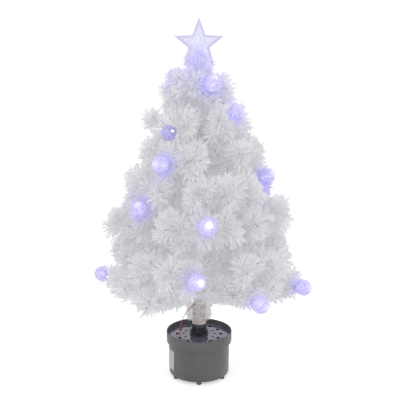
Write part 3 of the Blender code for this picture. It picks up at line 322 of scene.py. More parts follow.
def circuitBoard(tree):
    tracks = addNode(tree, "ShaderNodeTexBrick", {
        "Vector": coordsOf(tree), "Scale": 160, "Mortar Size": 0.03, "Mortar": (0.12, 0.33, 0.16, 1),
        "Color1": (0.03, 0.16, 0.07, 1), "Color2": (0.035, 0.19, 0.08, 1),
    })
    return {
        "Base Color": tracks.outputs["Color"],
        "Roughness": rangeOf(tree, noiseOf(tree, 200), 0.3, 0.5),
        "Normal": bumpOf(tree, tracks.outputs["Fac"], 0.00005),
    }


def wheelFilm(tree):
    # four coloured sectors about the hub, which stands off the base's middle
    mapping = addNode(tree, "ShaderNodeMapping", {"Vector": coordsOf(tree), "Location": (-0.03, 0, 0)})
    turn = addNode(tree, "ShaderNodeTexGradient", {0: mapping.outputs[0]}, gradient_type="RADIAL")
    stops = [(0, (0.55, 0.2, 0.85)), (0.25, (0.1, 0.2, 0.9)), (0.5, (0.9, 0.9, 0.95)), (0.75, (0.15, 0.5, 0.9))]
    sectors = rampOf(tree, turn.outputs["Fac"], stops)
    sectors.node.color_ramp.interpolation = "CONSTANT"
    return {
        "Transmission Weight": 0.6, "Base Color": sectors,
        "Roughness": rangeOf(tree, noiseOf(tree, 50), 0.08, 0.2),
    }


def paperLabel(tree):
    fibre = noiseOf(tree, 500, 5, 0.7)
    stops = [(0.3, (0.52, 0.53, 0.49)), (0.7, (0.63, 0.64, 0.60))]
    return {
        "Roughness": 0.75, "Base Color": rampOf(tree, fibre, stops), "Normal": bumpOf(tree, fibre, 0.00003),
    }


# name, recipe and what it takes. Plastics: dark, pale, roughness, then grain, relief, cloud and IOR if not the usual
finishes = {
    "pot": ("potPlastic", mouldedPlastic, (0.100, 0.101, 0.104), (0.128, 0.129, 0.132), (0.34, 0.5)),
    "plate": (
        "platePlastic", mouldedPlastic, (0.10, 0.098, 0.13), (0.18, 0.175, 0.22), (0.05, 0.11),
        700, 0.00002, 160, 1.95,
    ),
    "black": (
        "blackPlastic", mouldedPlastic, (0.022, 0.023, 0.032), (0.05, 0.052, 0.066), (0.14, 0.32), 500, 0.00005, 120,
    ),
    "ceramic": ("lampCeramic", mouldedPlastic, (0.66, 0.63, 0.57), (0.8, 0.78, 0.72), (0.5, 0.7), 400),
    "mirror": ("lampMirror", metalFinish, (0.75, 0.75, 0.73), (0.9, 0.9, 0.88), (0.08, 0.2), (1, 1, 1)),
    "steel": ("platedSteel", metalFinish, (0.42, 0.42, 0.44), (0.62, 0.62, 0.64), (0.25, 0.42)),
    "twig": ("twigWire", twigWire),
    "wire": ("twistedWire", metalFinish, (0.20, 0.20, 0.22), (0.38, 0.38, 0.42), (0.3, 0.5), (1, 1, 1)),
    "board": ("circuitBoard", circuitBoard),
    "wheel": ("wheelFilm", wheelFilm),
    "needles": ("needleFilm", needleFilm),
    "globe": ("globePlastic", globePlastic),
    "led": ("ledGlow", lampGlow, (0.93, 0.91, 1.0), 2.6, 3.4),
    "fibre": ("fibreGlow", lampGlow, (0.86, 0.85, 1.0), 0.25, 0.6),
    "cap": ("capPlastic", mouldedPlastic, (0.62, 0.60, 0.72), (0.74, 0.72, 0.86), (0.25, 0.4)),
    "star": ("starPlastic", starPlastic),
    "trunk": ("trunkFilm", trunkFilm),
    "tape": ("bandTape", mouldedPlastic, (0.62, 0.60, 0.60), (0.74, 0.73, 0.73), (0.35, 0.5), 300, 0.0001, 60),
    "label": ("paperLabel", paperLabel),
    "lead": ("leadSleeve", mouldedPlastic, (0.42, 0.035, 0.05), (0.56, 0.06, 0.075), (0.3, 0.45), 600),
}
materials = {look: newMaterial(*facts) for look, facts in finishes.items()}
# the plate mirrors a little violet
setInputs(materials["plate"].node_tree.nodes["Principled BSDF"], {"Specular Tint": (0.82, 0.78, 1, 1)})

# shared making

def keepPiece(name, mesh, look, body, replaced=(), smooth=35):
    mesh.name = name
    mesh.materials.clear()
    mesh.materials.append(materials[look])
    if smooth:
        mesh.shade_smooth()
        mesh.set_sharp_from_angle(angle=radians(smooth))
    piece = addObject(name, mesh)
    if body:
        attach(piece, body)
    if replaced:
        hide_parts(*replaced)
    return piece


def meshOf(bm):
    mesh = bpy.data.meshes.new("part")
    bm.to_mesh(mesh)
    bm.free()
    return mesh


def bakedMesh(obj):
    # the mesh that an object's modifiers or curve settings give; the object goes
    mesh = bpy.data.meshes.new_from_object(obj.evaluated_get(bpy.context.evaluated_depsgraph_get()))
    bpy.data.objects.remove(obj)
    return mesh


def spunMesh(profile, steps=96, bevel=0.0, matrix=Matrix()):
    # a profile of (radius, height) in mm, spun about Z. One that starts off the axis is a closed ring
    bm = bmesh.new()
    verts = [bm.verts.new((radius * mm, 0, height * mm)) for radius, height in profile]
    for pair in zip(verts, verts[1:]):
        bm.edges.new(pair)
    if profile[0][0] > 0:
        bm.edges.new((verts[-1], verts[0]))
    if bevel:
        corners = [v for v in bm.verts if len(v.link_edges) == 2]
        bmesh.ops.bevel(bm, geom=corners, affect="VERTICES", offset=bevel, segments=3, profile=0.5, material=-1)
    bmesh.ops.spin(
        bm, geom=bm.verts[:] + bm.edges[:], axis=up, cent=(0, 0, 0), angle=2 * pi, steps=steps, use_merge=True,
    )
    bmesh.ops.remove_doubles(bm, verts=bm.verts, dist=0.000002)
    bmesh.ops.recalc_face_normals(bm, faces=bm.faces)
    bmesh.ops.transform(bm, matrix=matrix, verts=bm.verts)
    return meshOf(bm)


def cutAway(mesh, cutterMesh):
    # the mesh without the cutter's solid
    solid, cutter = addObject("solid", mesh), addObject("cutter", cutterMesh)
    cut = solid.modifiers.new("cut", "BOOLEAN")
    cut.operation = "DIFFERENCE"
    cut.object = cutter
    cut.solver = "EXACT"
    result = bakedMesh(solid)
    bpy.data.objects.remove(cutter)
    return result


def giveWall(bm, thickness, outward):
    # turns a sheet's faces to the side that outward gives for each, then gives it a wall
    bmesh.ops.recalc_face_normals(bm, faces=bm.faces)
    if sum(face.normal.dot(outward(face)) for face in bm.faces) < 0:
        bmesh.ops.reverse_faces(bm, faces=bm.faces)
    bmesh.ops.solidify(bm, geom=bm.faces[:], thickness=thickness)
    bmesh.ops.recalc_face_normals(bm, faces=bm.faces)


def turnTo(ahead):
    return up.rotation_difference(ahead).to_matrix().to_4x4()


def addCylinder(bm, radius, low, high, matrix=Matrix(), steps=24, top=None):
    return bmesh.ops.create_cone(
        bm, cap_ends=True, segments=steps, radius1=radius, radius2=radius if top is None else top,
        depth=high - low, matrix=matrix @ Matrix.Translation((0, 0, (low + high) / 2)),
    )["verts"]


def tubeMesh(routes, radius, sides=2):
    # tubes of one radius along lists of points, as one mesh
    curve = bpy.data.curves.new("tube", "CURVE")
    curve.dimensions = "3D"
    curve.bevel_depth = radius
    curve.bevel_resolution = sides
    curve.use_fill_caps = True
    for route in routes:
        spline = curve.splines.new("POLY")
        spline.points.add(len(route) - 1)
        for point, place in zip(spline.points, route):
            point.co = (*place, 1)
    return bakedMesh(addObject("tube", curve))


def around(radius, bearing, height=0.0):
    angle = radians(bearing)
    return Vector((radius * cos(angle), radius * sin(angle), height))


def polar(azimuth, reach, height):
    # a point at an azimuth in degrees from the front (-Y), positive towards +X
    angle = radians(azimuth)
    return Vector((reach * sin(angle), -reach * cos(angle), height))


setCamera()
setWorld()
for name, facts in lamps.items():
    setLamp(name, *facts)
setFloor()
print("stage ready")

# base: pot, cover with feet, vent plate, screws, collar, label

base = {
    "floor": 11.0, "top": 119.0, "radius": 78.0, "taper": 1.0, "wall": 2.5,
    "rimRadius": 84.0, "rimInner": 81.2, "rimLow": 92.5, "ledgeTop": 105.7, "ledge": 2.8,
    "inletHeight": 32.0, "inletRadius": 5.8, "inletPlace": 77.3,
}
cover = {
    "profile": [
        (0, 8.3), (75, 8.3), (76, 9.3), (76, 10.7), (74.2, 10.7), (74.2, 15.7), (72.2, 15.7), (72.2, 10.7), (0, 10.7),
    ],
    "foot": [(0, 0), (4.5, 0), (5.6, 0.5), (6.3, 1.3), (6.5, 2.2), (6.5, 9.5), (0, 9.5)],
    "feet": 6, "footCircle": 68.0,
}
plate = {
    "top": 108.5, "bottom": 106.0, "outer": 80.7, "inner": 21.1,
    "slots": 12, "slotCircle": 55.96, "slotWidth": 7.4, "slotLength": 12.0,
    "holeCircle": 40.1, "holeRadius": 3.1, "undercut": 1.8, "screwCircle": 68.0, "screwAngles": (90, 210, 330),
    "screwHead": [(0, 0), (3.2, 0), (3.1, 0.9), (2.2, 1.6), (0, 1.9)], "screwTurn": 20,
    "crossBar": (0.0036, 0.0007, 0.0016),
}
collar = [  # radius and height of each corner
    (18.3, 124), (18.3, 83.5), (13, 83.5), (13, 81.5), (20.8, 81.5), (20.8, 108.8), (24.0, 108.8), (24.0, 109.8),
    (22.5, 110.4), (22.5, 124),
]
label = {"low": 27, "high": 77, "start": 215.5, "turn": -35.5, "steps": 22, "thickness": 0.0003}


def makePot():
    b = base
    foot = b["radius"] - b["taper"]
    shelf = b["ledgeTop"] - b["ledge"]
    profile = [
        (foot, b["floor"]), (b["radius"], b["rimLow"] - 2), (b["radius"], shelf), (b["rimInner"], shelf),
        (b["rimInner"], b["rimLow"]), (b["rimRadius"], b["rimLow"]), (b["rimRadius"], b["top"]),
        (b["rimInner"], b["top"]), (b["rimInner"], b["ledgeTop"]), (b["radius"] - b["wall"], b["ledgeTop"]),
        (b["radius"] - b["wall"], shelf), (foot - b["wall"], b["floor"]),
    ]
    shell = spunMesh(profile, 128, 0.0007)
    bm = bmesh.new()
    place = Matrix.Translation((0, b["inletPlace"] * mm, b["inletHeight"] * mm))
    turn = place @ Matrix.Rotation(radians(-90), 4, "X")
    addCylinder(bm, b["inletRadius"] * mm, -0.014, 0.014, turn, 32)
    keepPiece("potShell", cutAway(shell, meshOf(bm)), "pot", "base", ["pot"])


def makeCover():
    bm = bmesh.new()
    bm.from_mesh(spunMesh(cover["profile"], 128))
    foot = spunMesh(cover["foot"], 32)
    for index in range(cover["feet"]):
        copy = foot.copy()
        copy.transform(Matrix.Translation(around(cover["footCircle"] * mm, 90 + index * 360 / cover["feet"])))
        bm.from_mesh(copy)
    keepPiece("bottomCoverFeet", meshOf(bm), "pot", "base", ["bottom_cover"])


def makePlate():
    p = plate
    profile = [(p["inner"], p["bottom"]), (p["outer"], p["bottom"]), (p["outer"], p["top"]), (p["inner"], p["top"])]
    disc = spunMesh(profile, 128, 0.0003)
    bm = bmesh.new()
    half = (p["slotLength"] - p["slotWidth"]) / 2 * mm
    cutLow, cutHigh = (p["bottom"] - 0.5) * mm, (p["top"] + 0.1) * mm
    for index in range(p["slots"]):
        bearing = index * 360 / p["slots"]
        turn = Matrix.Rotation(radians(bearing), 4, "Z")
        place = turn @ Matrix.Translation((p["slotCircle"] * mm, 0, 0))
        wide, narrow = (p["slotWidth"] / 2 + p["undercut"]) * mm, p["slotWidth"] / 2 * mm
        verts = addCylinder(bm, wide, cutLow, cutHigh, place, 24, narrow)
        side = turn @ Vector((0, 1, 0))
        centre = turn @ Vector((p["slotCircle"] * mm, 0, 0))
        for end in (-1, 1):
            moved = [v for v in verts if end * (v.co - centre).dot(side) > 1e-6]
            bmesh.ops.translate(bm, vec=side * (end * half), verts=moved)
        place = Matrix.Translation(around(p["holeCircle"] * mm, bearing))
        addCylinder(bm, (p["holeRadius"] + p["undercut"]) * mm, cutLow, cutHigh, place, 24, p["holeRadius"] * mm)
    keepPiece("ventPlate", cutAway(disc, meshOf(bm)), "plate", "base", ["vent_plate"])
    profile = [(radius, p["top"] + height) for radius, height in p["screwHead"]]
    head = spunMesh(profile, 32)
    for quarter in (0, 90):  # one bar of the cross at a time, because a cutter that crosses itself leaves nothing
        bar = bmesh.new()
        turn = Matrix.Rotation(radians(quarter + p["screwTurn"]), 4, "Z")
        matrix = Matrix.Translation((0, 0, profile[-1][1] * mm)) @ turn @ Matrix.Diagonal((*p["crossBar"], 1))
        bmesh.ops.create_cube(bar, size=1, matrix=matrix)
        head = cutAway(head, meshOf(bar))
    bm = bmesh.new()
    for bearing in p["screwAngles"]:
        copy = head.copy()
        place = Matrix.Translation(around(p["screwCircle"] * mm, bearing))
        copy.transform(place @ Matrix.Rotation(radians(bearing), 4, "Z"))
        bm.from_mesh(copy)
    keepPiece("plateScrews", meshOf(bm), "wire", "base")


def makeLabel():
    # a blank sticker round the left of the pot
    l = label
    bm = bmesh.new()
    heights = (l["low"], l["low"] + 1, l["high"] - 1, l["high"])
    verts = [bm.verts.new(around(base["radius"] * mm, l["start"], height * mm)) for height in heights]
    edges = [bm.edges.new(pair) for pair in zip(verts, verts[1:])]
    angle = radians(l["turn"])
    bmesh.ops.spin(bm, geom=verts + edges, axis=up, cent=(0, 0, 0), angle=angle, steps=l["steps"])
    giveWall(bm, -l["thickness"], lambda face: face.calc_center_median())
    keepPiece("blankLabel", meshOf(bm), "label", "base")


makePot()
makeCover()
makePlate()
keepPiece("socketCollar", spunMesh(collar, 96, 0.0005), "black", "base", ["socket_collar"])
makeLabel()
print("base ready")

# trunk: ferrule, wrapped pole, tier bands

trunk = {
    "radius": 17.8, "topRadius": 7.5, "bottom": 139.5, "jacketTop": 218.0, "top": 668.0,
    "ferruleLow": 83.8, "ferruleTop": 139.2, "ferruleBore": 14.6,
    "spigot": 14.3, "spigotDepth": 34.0, "bore": 11.8, "boreTop": 168.1, "ring": 4, "ridge": 0.0004,
    "bandHeight": 8.0, "bandGap": 0.1, "bandThickness": 1.4,
}
tiers = {
    "start": 218.0, "spacing": 81.0, "reach": 240.0, "rise": 45.0,
    "counts": (6, 5, 5, 4, 3, 3),
    "firstAzimuths": (30, -18, 0, 25, -36, -55),
    "reachShares": (1, 0.93, 0.8, 0.68, 0.55, 0.42),
    "riseShares": (0.4, 0.75, 1.1, 1.1, 1, 1),
    "twigSpreads": (21, 24, 24, 29, 34, 36),
    "twigStart": 0.3, "twigReach": 0.93, "arch": 0.25,
}


def trunkRadius(height):
    share = min(max((height - trunk["jacketTop"]) / (trunk["top"] - trunk["jacketTop"]), 0), 1)
    return trunk["radius"] + (trunk["topRadius"] - trunk["radius"]) * share


def makeTrunk():
    t = trunk
    bore, outer, low, high = t["ferruleBore"], t["radius"], t["ferruleLow"], t["ferruleTop"]
    ferrule = spunMesh([(bore, low), (outer, low), (outer, high), (bore, high)], 96, 0.0005)
    keepPiece("trunkFerrule", ferrule, "black", "trunk", ["trunk_ferrule"])
    foot = t["bottom"] - t["spigotDepth"]
    profile = [(0, t["boreTop"]), (t["bore"], t["boreTop"]), (t["bore"], foot), (t["spigot"], foot)]
    profile.append((t["spigot"], t["bottom"]))
    height = t["bottom"]
    while height < t["top"]:
        profile.append((trunkRadius(height), height))
        height += t["ring"]
    profile += [(t["topRadius"], t["top"]), (0, t["top"])]
    bm = bmesh.new()
    bm.from_mesh(spunMesh(profile, 64))
    for vert in bm.verts:
        radial, height = vert.co.xy.length, vert.co.z / mm
        if radial > 0.95 * trunkRadius(height) * mm and t["bottom"] + 3 < height < t["top"] - 2:
            angle = atan2(vert.co.y, vert.co.x)
            ridge = sin(angle * 2 + height * 0.35) + 0.5 * sin(angle * 5 - height * 0.21)
            vert.co.xy *= 1 + t["ridge"] * ridge / radial
    keepPiece("trunkSleeve", meshOf(bm), "trunk", "trunk", ["trunk_pole"])
    bm = bmesh.new()
    for tier in range(len(tiers["counts"])):
        middle = tiers["start"] + tier * tiers["spacing"]
        inner = trunkRadius(middle) + t["bandGap"]
        outer = inner + t["bandThickness"]
        low, high = middle - t["bandHeight"] / 2, middle + t["bandHeight"] / 2
        bm.from_mesh(spunMesh([(inner, low), (outer, low), (outer, high), (inner, high)], 64, 0.0004))
    keepPiece("tierBands", meshOf(bm), "tape", "trunk")


makeTrunk()
print("trunk ready")

# sprigs: the wires of each bough, with the lights at their ends

ball = {
    "radius": 20.5, "neck": 5.0, "neckRadius": 6.0, "wall": 1.2, "ledRadius": 2.6,
    # the two globes that face the camera carry the whole painted hot spot; the others carry the smaller share after
    # it
    "coreFrom": 0.78, "brightest": (4, 6), "unfacedHotSpotShare": 0.35, "glowFade": 0.009,
    "bulb": [(0, -24), (2.6, -24), (2.6, -12), (1.5, -10), (1.5, -3), (2.3, -1.4), (2.3, 0.6), (1.4, 2), (0, 2.4)],
    "cap": [(6.2, -0.3), (7.2, -0.3), (7.4, 3.8), (6.2, 3.8)],
    # how much of a globe stays free of needles on the side that is looked at, how far before it, and other shares
    "freeShare": 0.7, "freeDepth": 0.2,
    "freeShares": {4: 0.5, 5: 0.45, 6: 0.5, 9: 0.45, 11: 0.95, 13: 0.5, 14: 0},
}
lights = [
    # tier, bough, twig, azimuth, share of reach, share of rise
    (1, 1, 0, 34, 1.05, 2.5), (1, 2, -1, 79, 1.1, 1.8), (1, 5, -1, -107, 1.12, 1.5),
    (2, 1, 1, -1, 1.05, 0.8), (2, 4, -1, 180, 1.05, 0.85), (3, 1, 0, 5, 1.19, 1.42),
    (3, 5, 1, -52, 0.93, 1.7), (4, 2, -1, 90, 1.03, 1.25), (4, 3, 0, -157, 1.03, 1.2),
    (5, 1, 0, -36, 1.14, 0.65), (6, 1, -1, -93, 0.74, 0.15), (6, 2, 0, 77, 0.87, 1.29),
]
bends = [
    # tier, bough, twig, azimuth, share of reach, share of rise
    (1, 1, -1, 12, 0.62, 3.2), (1, 1, 1, 51, 0.93, 3.2), (1, 5, 0, -90, 0.88, 2), (1, 5, 1, -69, 0.86, 2),
    (1, 6, -1, -51, 0.93, 2.5), (1, 6, 0, -30, 1, 2.05), (1, 6, 1, -12, 0.62, 3.2), (3, 2, 0, 72, 1.08, 1.3),
    (3, 2, 1, 96, 1, 1), (3, 5, 0, -72, 1.1, 0.8), (6, 1, 0, -70, 1.12, 1.3),
]
arches = {"1_1": 50, "1_6": 34}  # how far these stems bow up between root and tip, in mm
trims = [
    # tier, bough, twig, share of the way out, drop at the tip
    (2, 5, 0, 0.86, 0), (2, 5, -1, 0.92, 0), (2, 5, 1, 0.90, 0), (6, 1, 0, 1.02, 24), (6, 1, 1, 0.95, 10),
]
treetop = {
    "low": 668.3, "leaderTop": 781.0, "pinTop": 811.0, "twigStart": 699.0, "twigRise": 61.0, "twigReach": 70.0,
    "azimuths": (25, -55, 165), "lightReach": (1.08, 0.94), "lightRise": (0.87, 1.14),
    "crown": (752, 766, 781), "starFanLow": 748, "starFanTip": 800, "seed": 300,
}
topBrushes = {
    # seed, bare wire at the start in metres, kind of tufts, their size, how many to a step
    "leaderFoliage": (501, 0.02, "leader", 1, 2), "crownFoliage": (503, 0.006, "crown", 1, 2),
    "topTwigFoliage": (502, 0.006, "side", 0.86, 1.6),
}


arcSteps = 60


def arcPoints(start, control, end, count=arcSteps):
    return interpolate_bezier(start, start + (control - start) * 2 / 3, end + (control - end) * 2 / 3, end, count)


def inMetres(routes):
    return [([p * mm for p in points], centre * mm if centre else None) for points, centre in routes]


def boughRoutes(tier, index):
    # the stem and two side twigs of one bough, as point lists in metres, each with its light or None
    t = tiers
    height = t["start"] + tier * t["spacing"]
    reach, rise = t["reach"] * t["reachShares"][tier], t["rise"] * t["riseShares"][tier]
    azimuth = t["firstAzimuths"][tier] + index * 360 / t["counts"][tier]
    root = polar(azimuth, trunkRadius(height) + 2.2, height)
    tips = {0: polar(azimuth, reach, height + rise)}
    for side in (-1, 1):
        tips[side] = polar(azimuth + side * t["twigSpreads"][tier], reach * t["twigReach"], height + rise)
    lit = {}
    for table, ends in ((bends, tips), (lights, lit)):
        for row, bough, twig, aside, reachShare, riseShare in table:
            if (row - 1, bough - 1) == (tier, index):
                ends[twig] = polar(aside, reach * reachShare, height + rise * riseShare)
    tips.update(lit)
    for row, bough, twig, share, drop in trims:
        if (row - 1, bough - 1) == (tier, index):
            tips[twig] = root + (tips[twig] - root) * share - up * drop
    out = polar(azimuth, 1, 0)
    bow = up * arches.get(f"{tier + 1}_{index + 1}", rise * t["arch"])
    stem = arcPoints(root, root + out * (reach / 2) + bow, tips[0])
    routes = [(stem, lit.get(0))]
    for side in (-1, 1):
        start = stem[round(arcSteps * t["twigStart"])]
        ahead = start + out * ((tips[side] - start).length / 2) + up * (rise * t["arch"])
        routes.append((arcPoints(start, ahead, tips[side]), lit.get(side)))
    return inMetres(routes)


def treetopRoutes():
    t = treetop
    routes = [(arcPoints(up * t["low"], up * (t["low"] + t["leaderTop"]) / 2, up * t["leaderTop"]), None)]
    for index, azimuth in enumerate(t["azimuths"]):
        lit = index < len(t["lightReach"])
        reach = t["twigReach"] * (t["lightReach"][index] if lit else 1)
        rise = t["twigRise"] * (t["lightRise"][index] if lit else 1)
        tip = polar(azimuth, reach, t["twigStart"] + rise)
        start = up * t["twigStart"]
        routes.append((arcPoints(start, start + polar(azimuth, t["twigReach"] / 2, 0), tip), tip if lit else None))
    return inMetres(routes)


def routeLength(points):
    return sum((b - a).length for a, b in zip(points, points[1:]))


def alongRoute(points, distance):
    # the place and direction at a distance along the points
    left = distance
    for a, b in zip(points, points[1:]):
        step = (b - a).length
        if left <= step or b is points[-1]:
            return a + (b - a) * (left / step), (b - a) / step
        left -= step


boughs = {}  # each bough's routes; the side twigs come after the stem
for tier, count in enumerate(tiers["counts"]):
    for index in range(count):
        boughs[f"{tier + 1}_{index + 1}"] = boughRoutes(tier, index)
boughs["treetop"] = treetopRoutes()
globes = [(name, points, centre) for name, routes in boughs.items() for points, centre in routes if centre]
globeCentres = np.array([centre for name, points, centre in globes])

# needles: short straight tufts laid end to end along each wire

needle = {
    "length": 0.031, "width": 0.00084, "flat": 0.45, "step": 0.012, "perClump": 3, "fan": 5, "corners": 4, "root": 3,
    "scatter": 0.4, "clumpLengths": (0.86, 1.04), "stripLengths": (0.95, 1.03), "tuftSizes": (0.92, 1.06),
    "tierSizes": (1.06, 1.06, 1.06, 1.08, 1.04, 1.0), "bare": 0.006, "lampBare": 0.028, "stemBare": 0.012,
    "tested": (0, 0.35, 0.7, 1),  # the shares of a needle's length at which it is held against the globes
}
tuftKinds = {
    # first seed, how many, clumps in each, lean from and to in degrees, share of a needle's length
    "side": (0, 6, 21, 32, 70, 1), "tip": (40, 6, 30, 12, 62, 1),
    "leader": (80, 6, 21, 34, 68, 1.22), "crown": (120, 3, 30, 20, 62, 1.55),
}


def addNeedle(bm, start, aim, length, turn):
    # a film strip, pinched where it leaves the wire; its last corner is that end
    matrix = (
        Matrix.Translation(start + aim * (length / 2)) @ turnTo(-aim)
        @ Matrix.Rotation(turn, 4, "Z") @ Matrix.Diagonal((1, needle["flat"], 1, 1))
    )
    bmesh.ops.create_cone(
        bm, cap_ends=True, segments=3, radius1=needle["width"], radius2=0, depth=length, matrix=matrix,
    )


def tuftMesh(seed, count, leanFrom, leanTo, reachShare):
    # needles out of one short stretch of wire along Z, leaning by degrees from it
    draw = random.Random(seed)
    bm = bmesh.new()
    for number in range(count):
        turn = number * goldenAngle + draw.uniform(-1, 1) * needle["scatter"]
        lean = draw.uniform(leanFrom, leanTo)
        start = up * draw.uniform(-0.5, 0.5) * needle["step"]
        reach = needle["length"] * reachShare * draw.uniform(*needle["clumpLengths"])
        for strip in range(needle["perClump"]):
            away = radians(lean + draw.uniform(-1, 1) * needle["fan"])
            over = turn + radians(draw.uniform(-1, 1) * needle["fan"]) / sin(away)
            aim = Vector((sin(away) * cos(over), sin(away) * sin(over), cos(away)))
            addNeedle(bm, start, aim, reach * draw.uniform(*needle["stripLengths"]), draw.uniform(0, pi))
    return meshOf(bm)


tufts = {
    kind: [tuftMesh(seed + number, *facts) for number in range(count)]
    for kind, (seed, count, *facts) in tuftKinds.items()
}


def placesOf(mesh):
    places = np.zeros(len(mesh.vertices) * 3)
    mesh.vertices.foreach_get("co", places)
    return places.reshape(-1, 3)


def reachOf(mesh):
    # 0 where a needle leaves the wire, 1 at its end
    reach = np.ones(len(mesh.vertices))
    reach[needle["root"]::needle["corners"]] = 0
    return reach


tuftReach = {mesh: reachOf(mesh) for meshes in tufts.values() for mesh in meshes}


def lengthsOf(vectors):
    return np.linalg.norm(vectors, axis=-1)


def setFloat(mesh, name, values):
    mesh.attributes.new(name, "FLOAT", "POINT").data.foreach_set("value", np.asarray(values, np.float32))


# place, radius, power and fade of the star's light and of a light that only shows through the needles, in metres,
# both painted onto the needles
otherGlows = [((0, 0, 0.815), 0.02, 0.7, 0.03), ((0.160, -0.022, 0.484), 0.008, 0.8, 0.011)]


def lampGlowAt(places):
    # how strongly the globes and the star light each place, 0 to 1; the needles get this as painted light
    total = np.zeros(len(places))
    for centre in globeCentres:
        away = lengthsOf(places - centre) - ball["radius"] * mm
        total += np.exp(-np.maximum(away, 0) / ball["glowFade"])
    for place, radius, power, fade in otherGlows:
        away = lengthsOf(places - np.array(place)) - radius
        total += power * np.exp(-np.maximum(away, 0) / fade)
    return np.clip(total, 0, 1)


# twigs off the stem and off the side twigs: share of the length, degrees from level, opening, length in mm
stemPlan = [
    (0.2, 30, 52, 58), (0.22, 150, 52, 58), (0.3, -90, 58, 52), (0.34, 90, 42, 50), (0.42, -90, 40, 46),
    (0.5, 45, 38, 52), (0.52, 135, 38, 52), (0.62, 0, 36, 52), (0.64, 180, 36, 52), (0.7, 90, 38, 50),
    (0.76, -90, 36, 46), (0.84, 50, 34, 46), (0.86, 130, 34, 46), (0.93, -90, 34, 38),
]
twigPlan = [
    (0.3, 90, 40, 50), (0.42, -90, 38, 46), (0.5, 40, 38, 50), (0.6, 140, 36, 50),
    (0.72, 90, 36, 46), (0.8, -90, 34, 42), (0.9, 60, 32, 40), (0.92, -140, 32, 38),
]
# more of them near the trunk in the upper tiers, where boughs are few
innerPlan = [(0.16, 60, 70, 60), (0.18, 120, 70, 60), (0.26, 0, 62, 60), (0.28, 180, 62, 60), (0.3, 90, 58, 62)]
# and along the treetop's twigs
topPlan = [(0.5, 90, 36, 44), (0.6, -90, 36, 40), (0.55, 0, 34, 40), (0.7, 180, 34, 40)]
extra = {
    "turnScatter": 18, "openScatter": 6, "lengths": (0.85, 1.12), "beyond": 0.006, "globeRoom": 0.03, "bow": 0.45,
    "steps": 12, "seed": 200, "innerAbove": 2,
    "lowestTurn": -0.2,  # in the lowest tier none turns further down than this (the sine of the angle)
}


def coversGlobe(places):
    # which places are inside a globe or stand close before it
    b = ball
    covers = np.zeros(len(places), bool)
    for number, centre in enumerate(globeCentres):
        front = np.array(view["place"]) - centre
        front /= np.linalg.norm(front)
        away = places - centre
        along = away @ front
        across = lengthsOf(away - along[:, None] * front)
        free = b["radius"] * mm * b["freeShares"].get(number + 1, b["freeShare"])
        covers |= lengthsOf(away) < (b["radius"] + 0.5) * mm
        covers |= (along > 0) & (along < b["freeDepth"]) & (across < free)
    return covers


def extraTwigs(routes, draw, plan, lowest=-1):
    # short twigs off the main ones, up, down and to the sides, that fill the bough
    extras = []
    for number, (points, centre) in enumerate(routes):
        length = routeLength(points) - (extra["globeRoom"] if centre else 0)
        for share, tilt, opening, reach in plan[min(number, 1)]:
            place, ahead = alongRoute(points, length * share)
            side = ahead.cross(up).normalized()
            over = side.cross(ahead).normalized()
            turn = radians(tilt + draw.uniform(-1, 1) * extra["turnScatter"])
            bend = radians(opening + draw.uniform(-1, 1) * extra["openScatter"])
            room = length * (1 - share) + extra["beyond"]
            twig = min(reach * mm * draw.uniform(*extra["lengths"]), room / cos(bend))
            if sin(turn) < lowest:
                continue
            away = side * cos(turn) + over * sin(turn)
            tip = place + (ahead * cos(bend) + away * sin(bend)) * twig
            route = arcPoints(place, place + ahead * twig * extra["bow"], tip, extra["steps"])
            if not coversGlobe(np.array(route)).any():
                extras.append((route, None))
    return extras


def foliageMesh(routes, seed, bare=needle["stemBare"], kind="side", sizes=1.0, packs=1, thinned=0):
    # the brushes of one bough as one mesh, with the needles' own attributes
    draw = random.Random(seed)
    bm = bmesh.new()
    reach = []
    for number, (points, centre) in enumerate(routes):
        length = routeLength(points)
        stop = length - needle["lampBare" if centre else "bare"]
        distance = bare if number == 0 else needle["bare"]
        step = needle["step"] / packs
        while distance < stop:
            last = distance + step * 1.5 > stop and not centre
            tuft = draw.choice(tufts["tip" if last else kind])
            place, ahead = alongRoute(points, distance)
            turn = Matrix.Rotation(draw.uniform(0, 2 * pi), 4, "Z")
            size = Matrix.Scale(sizes * draw.uniform(*needle["tuftSizes"]), 4)
            copy = tuft.copy()
            copy.transform(Matrix.Translation(place) @ turnTo(ahead) @ turn @ size)
            bm.from_mesh(copy)
            bpy.data.meshes.remove(copy)
            reach.append(tuftReach[tuft])
            distance += step
    return dropStruck(meshOf(bm), np.concatenate(reach), seed, thinned)


def dropStruck(mesh, reach, seed, thinned=0):
    # takes out needles that a globe stands in the way of, and sets shade, reach and glow
    corners = needle["corners"]
    places = placesOf(mesh).reshape(-1, corners, 3)
    root = places[:, needle["root"]]
    tip = (places.sum(axis=1) - root) / (corners - 1)
    struck = np.any([coversGlobe(root * (1 - share) + tip * share) for share in needle["tested"]], axis=0)
    if thinned:
        struck |= (tip - root)[:, 2] < thinned * lengthsOf(tip - root)
    if struck.any():
        bm = bmesh.new()
        bm.from_mesh(mesh)
        bm.verts.ensure_lookup_table()
        doomed = [bm.verts[corners * which + k] for which in np.flatnonzero(struck) for k in range(corners)]
        bmesh.ops.delete(bm, geom=doomed, context="VERTS")
        mesh = meshOf(bm)
        reach = reach.reshape(-1, corners)[~struck].ravel()
    clumps = -(-len(places) // needle["perClump"])
    shade = np.random.default_rng(seed).random(clumps).repeat(needle["perClump"])[:len(places)]
    setFloat(mesh, "reach", reach)
    setFloat(mesh, "shade", shade[~struck].repeat(corners))
    setFloat(mesh, "glow", lampGlowAt(placesOf(mesh)))
    return mesh


twist = {"offset": 0.0007, "pitch": 0.007, "step": 0.0025, "strand": 0.0006, "cutEnd": 0.004}


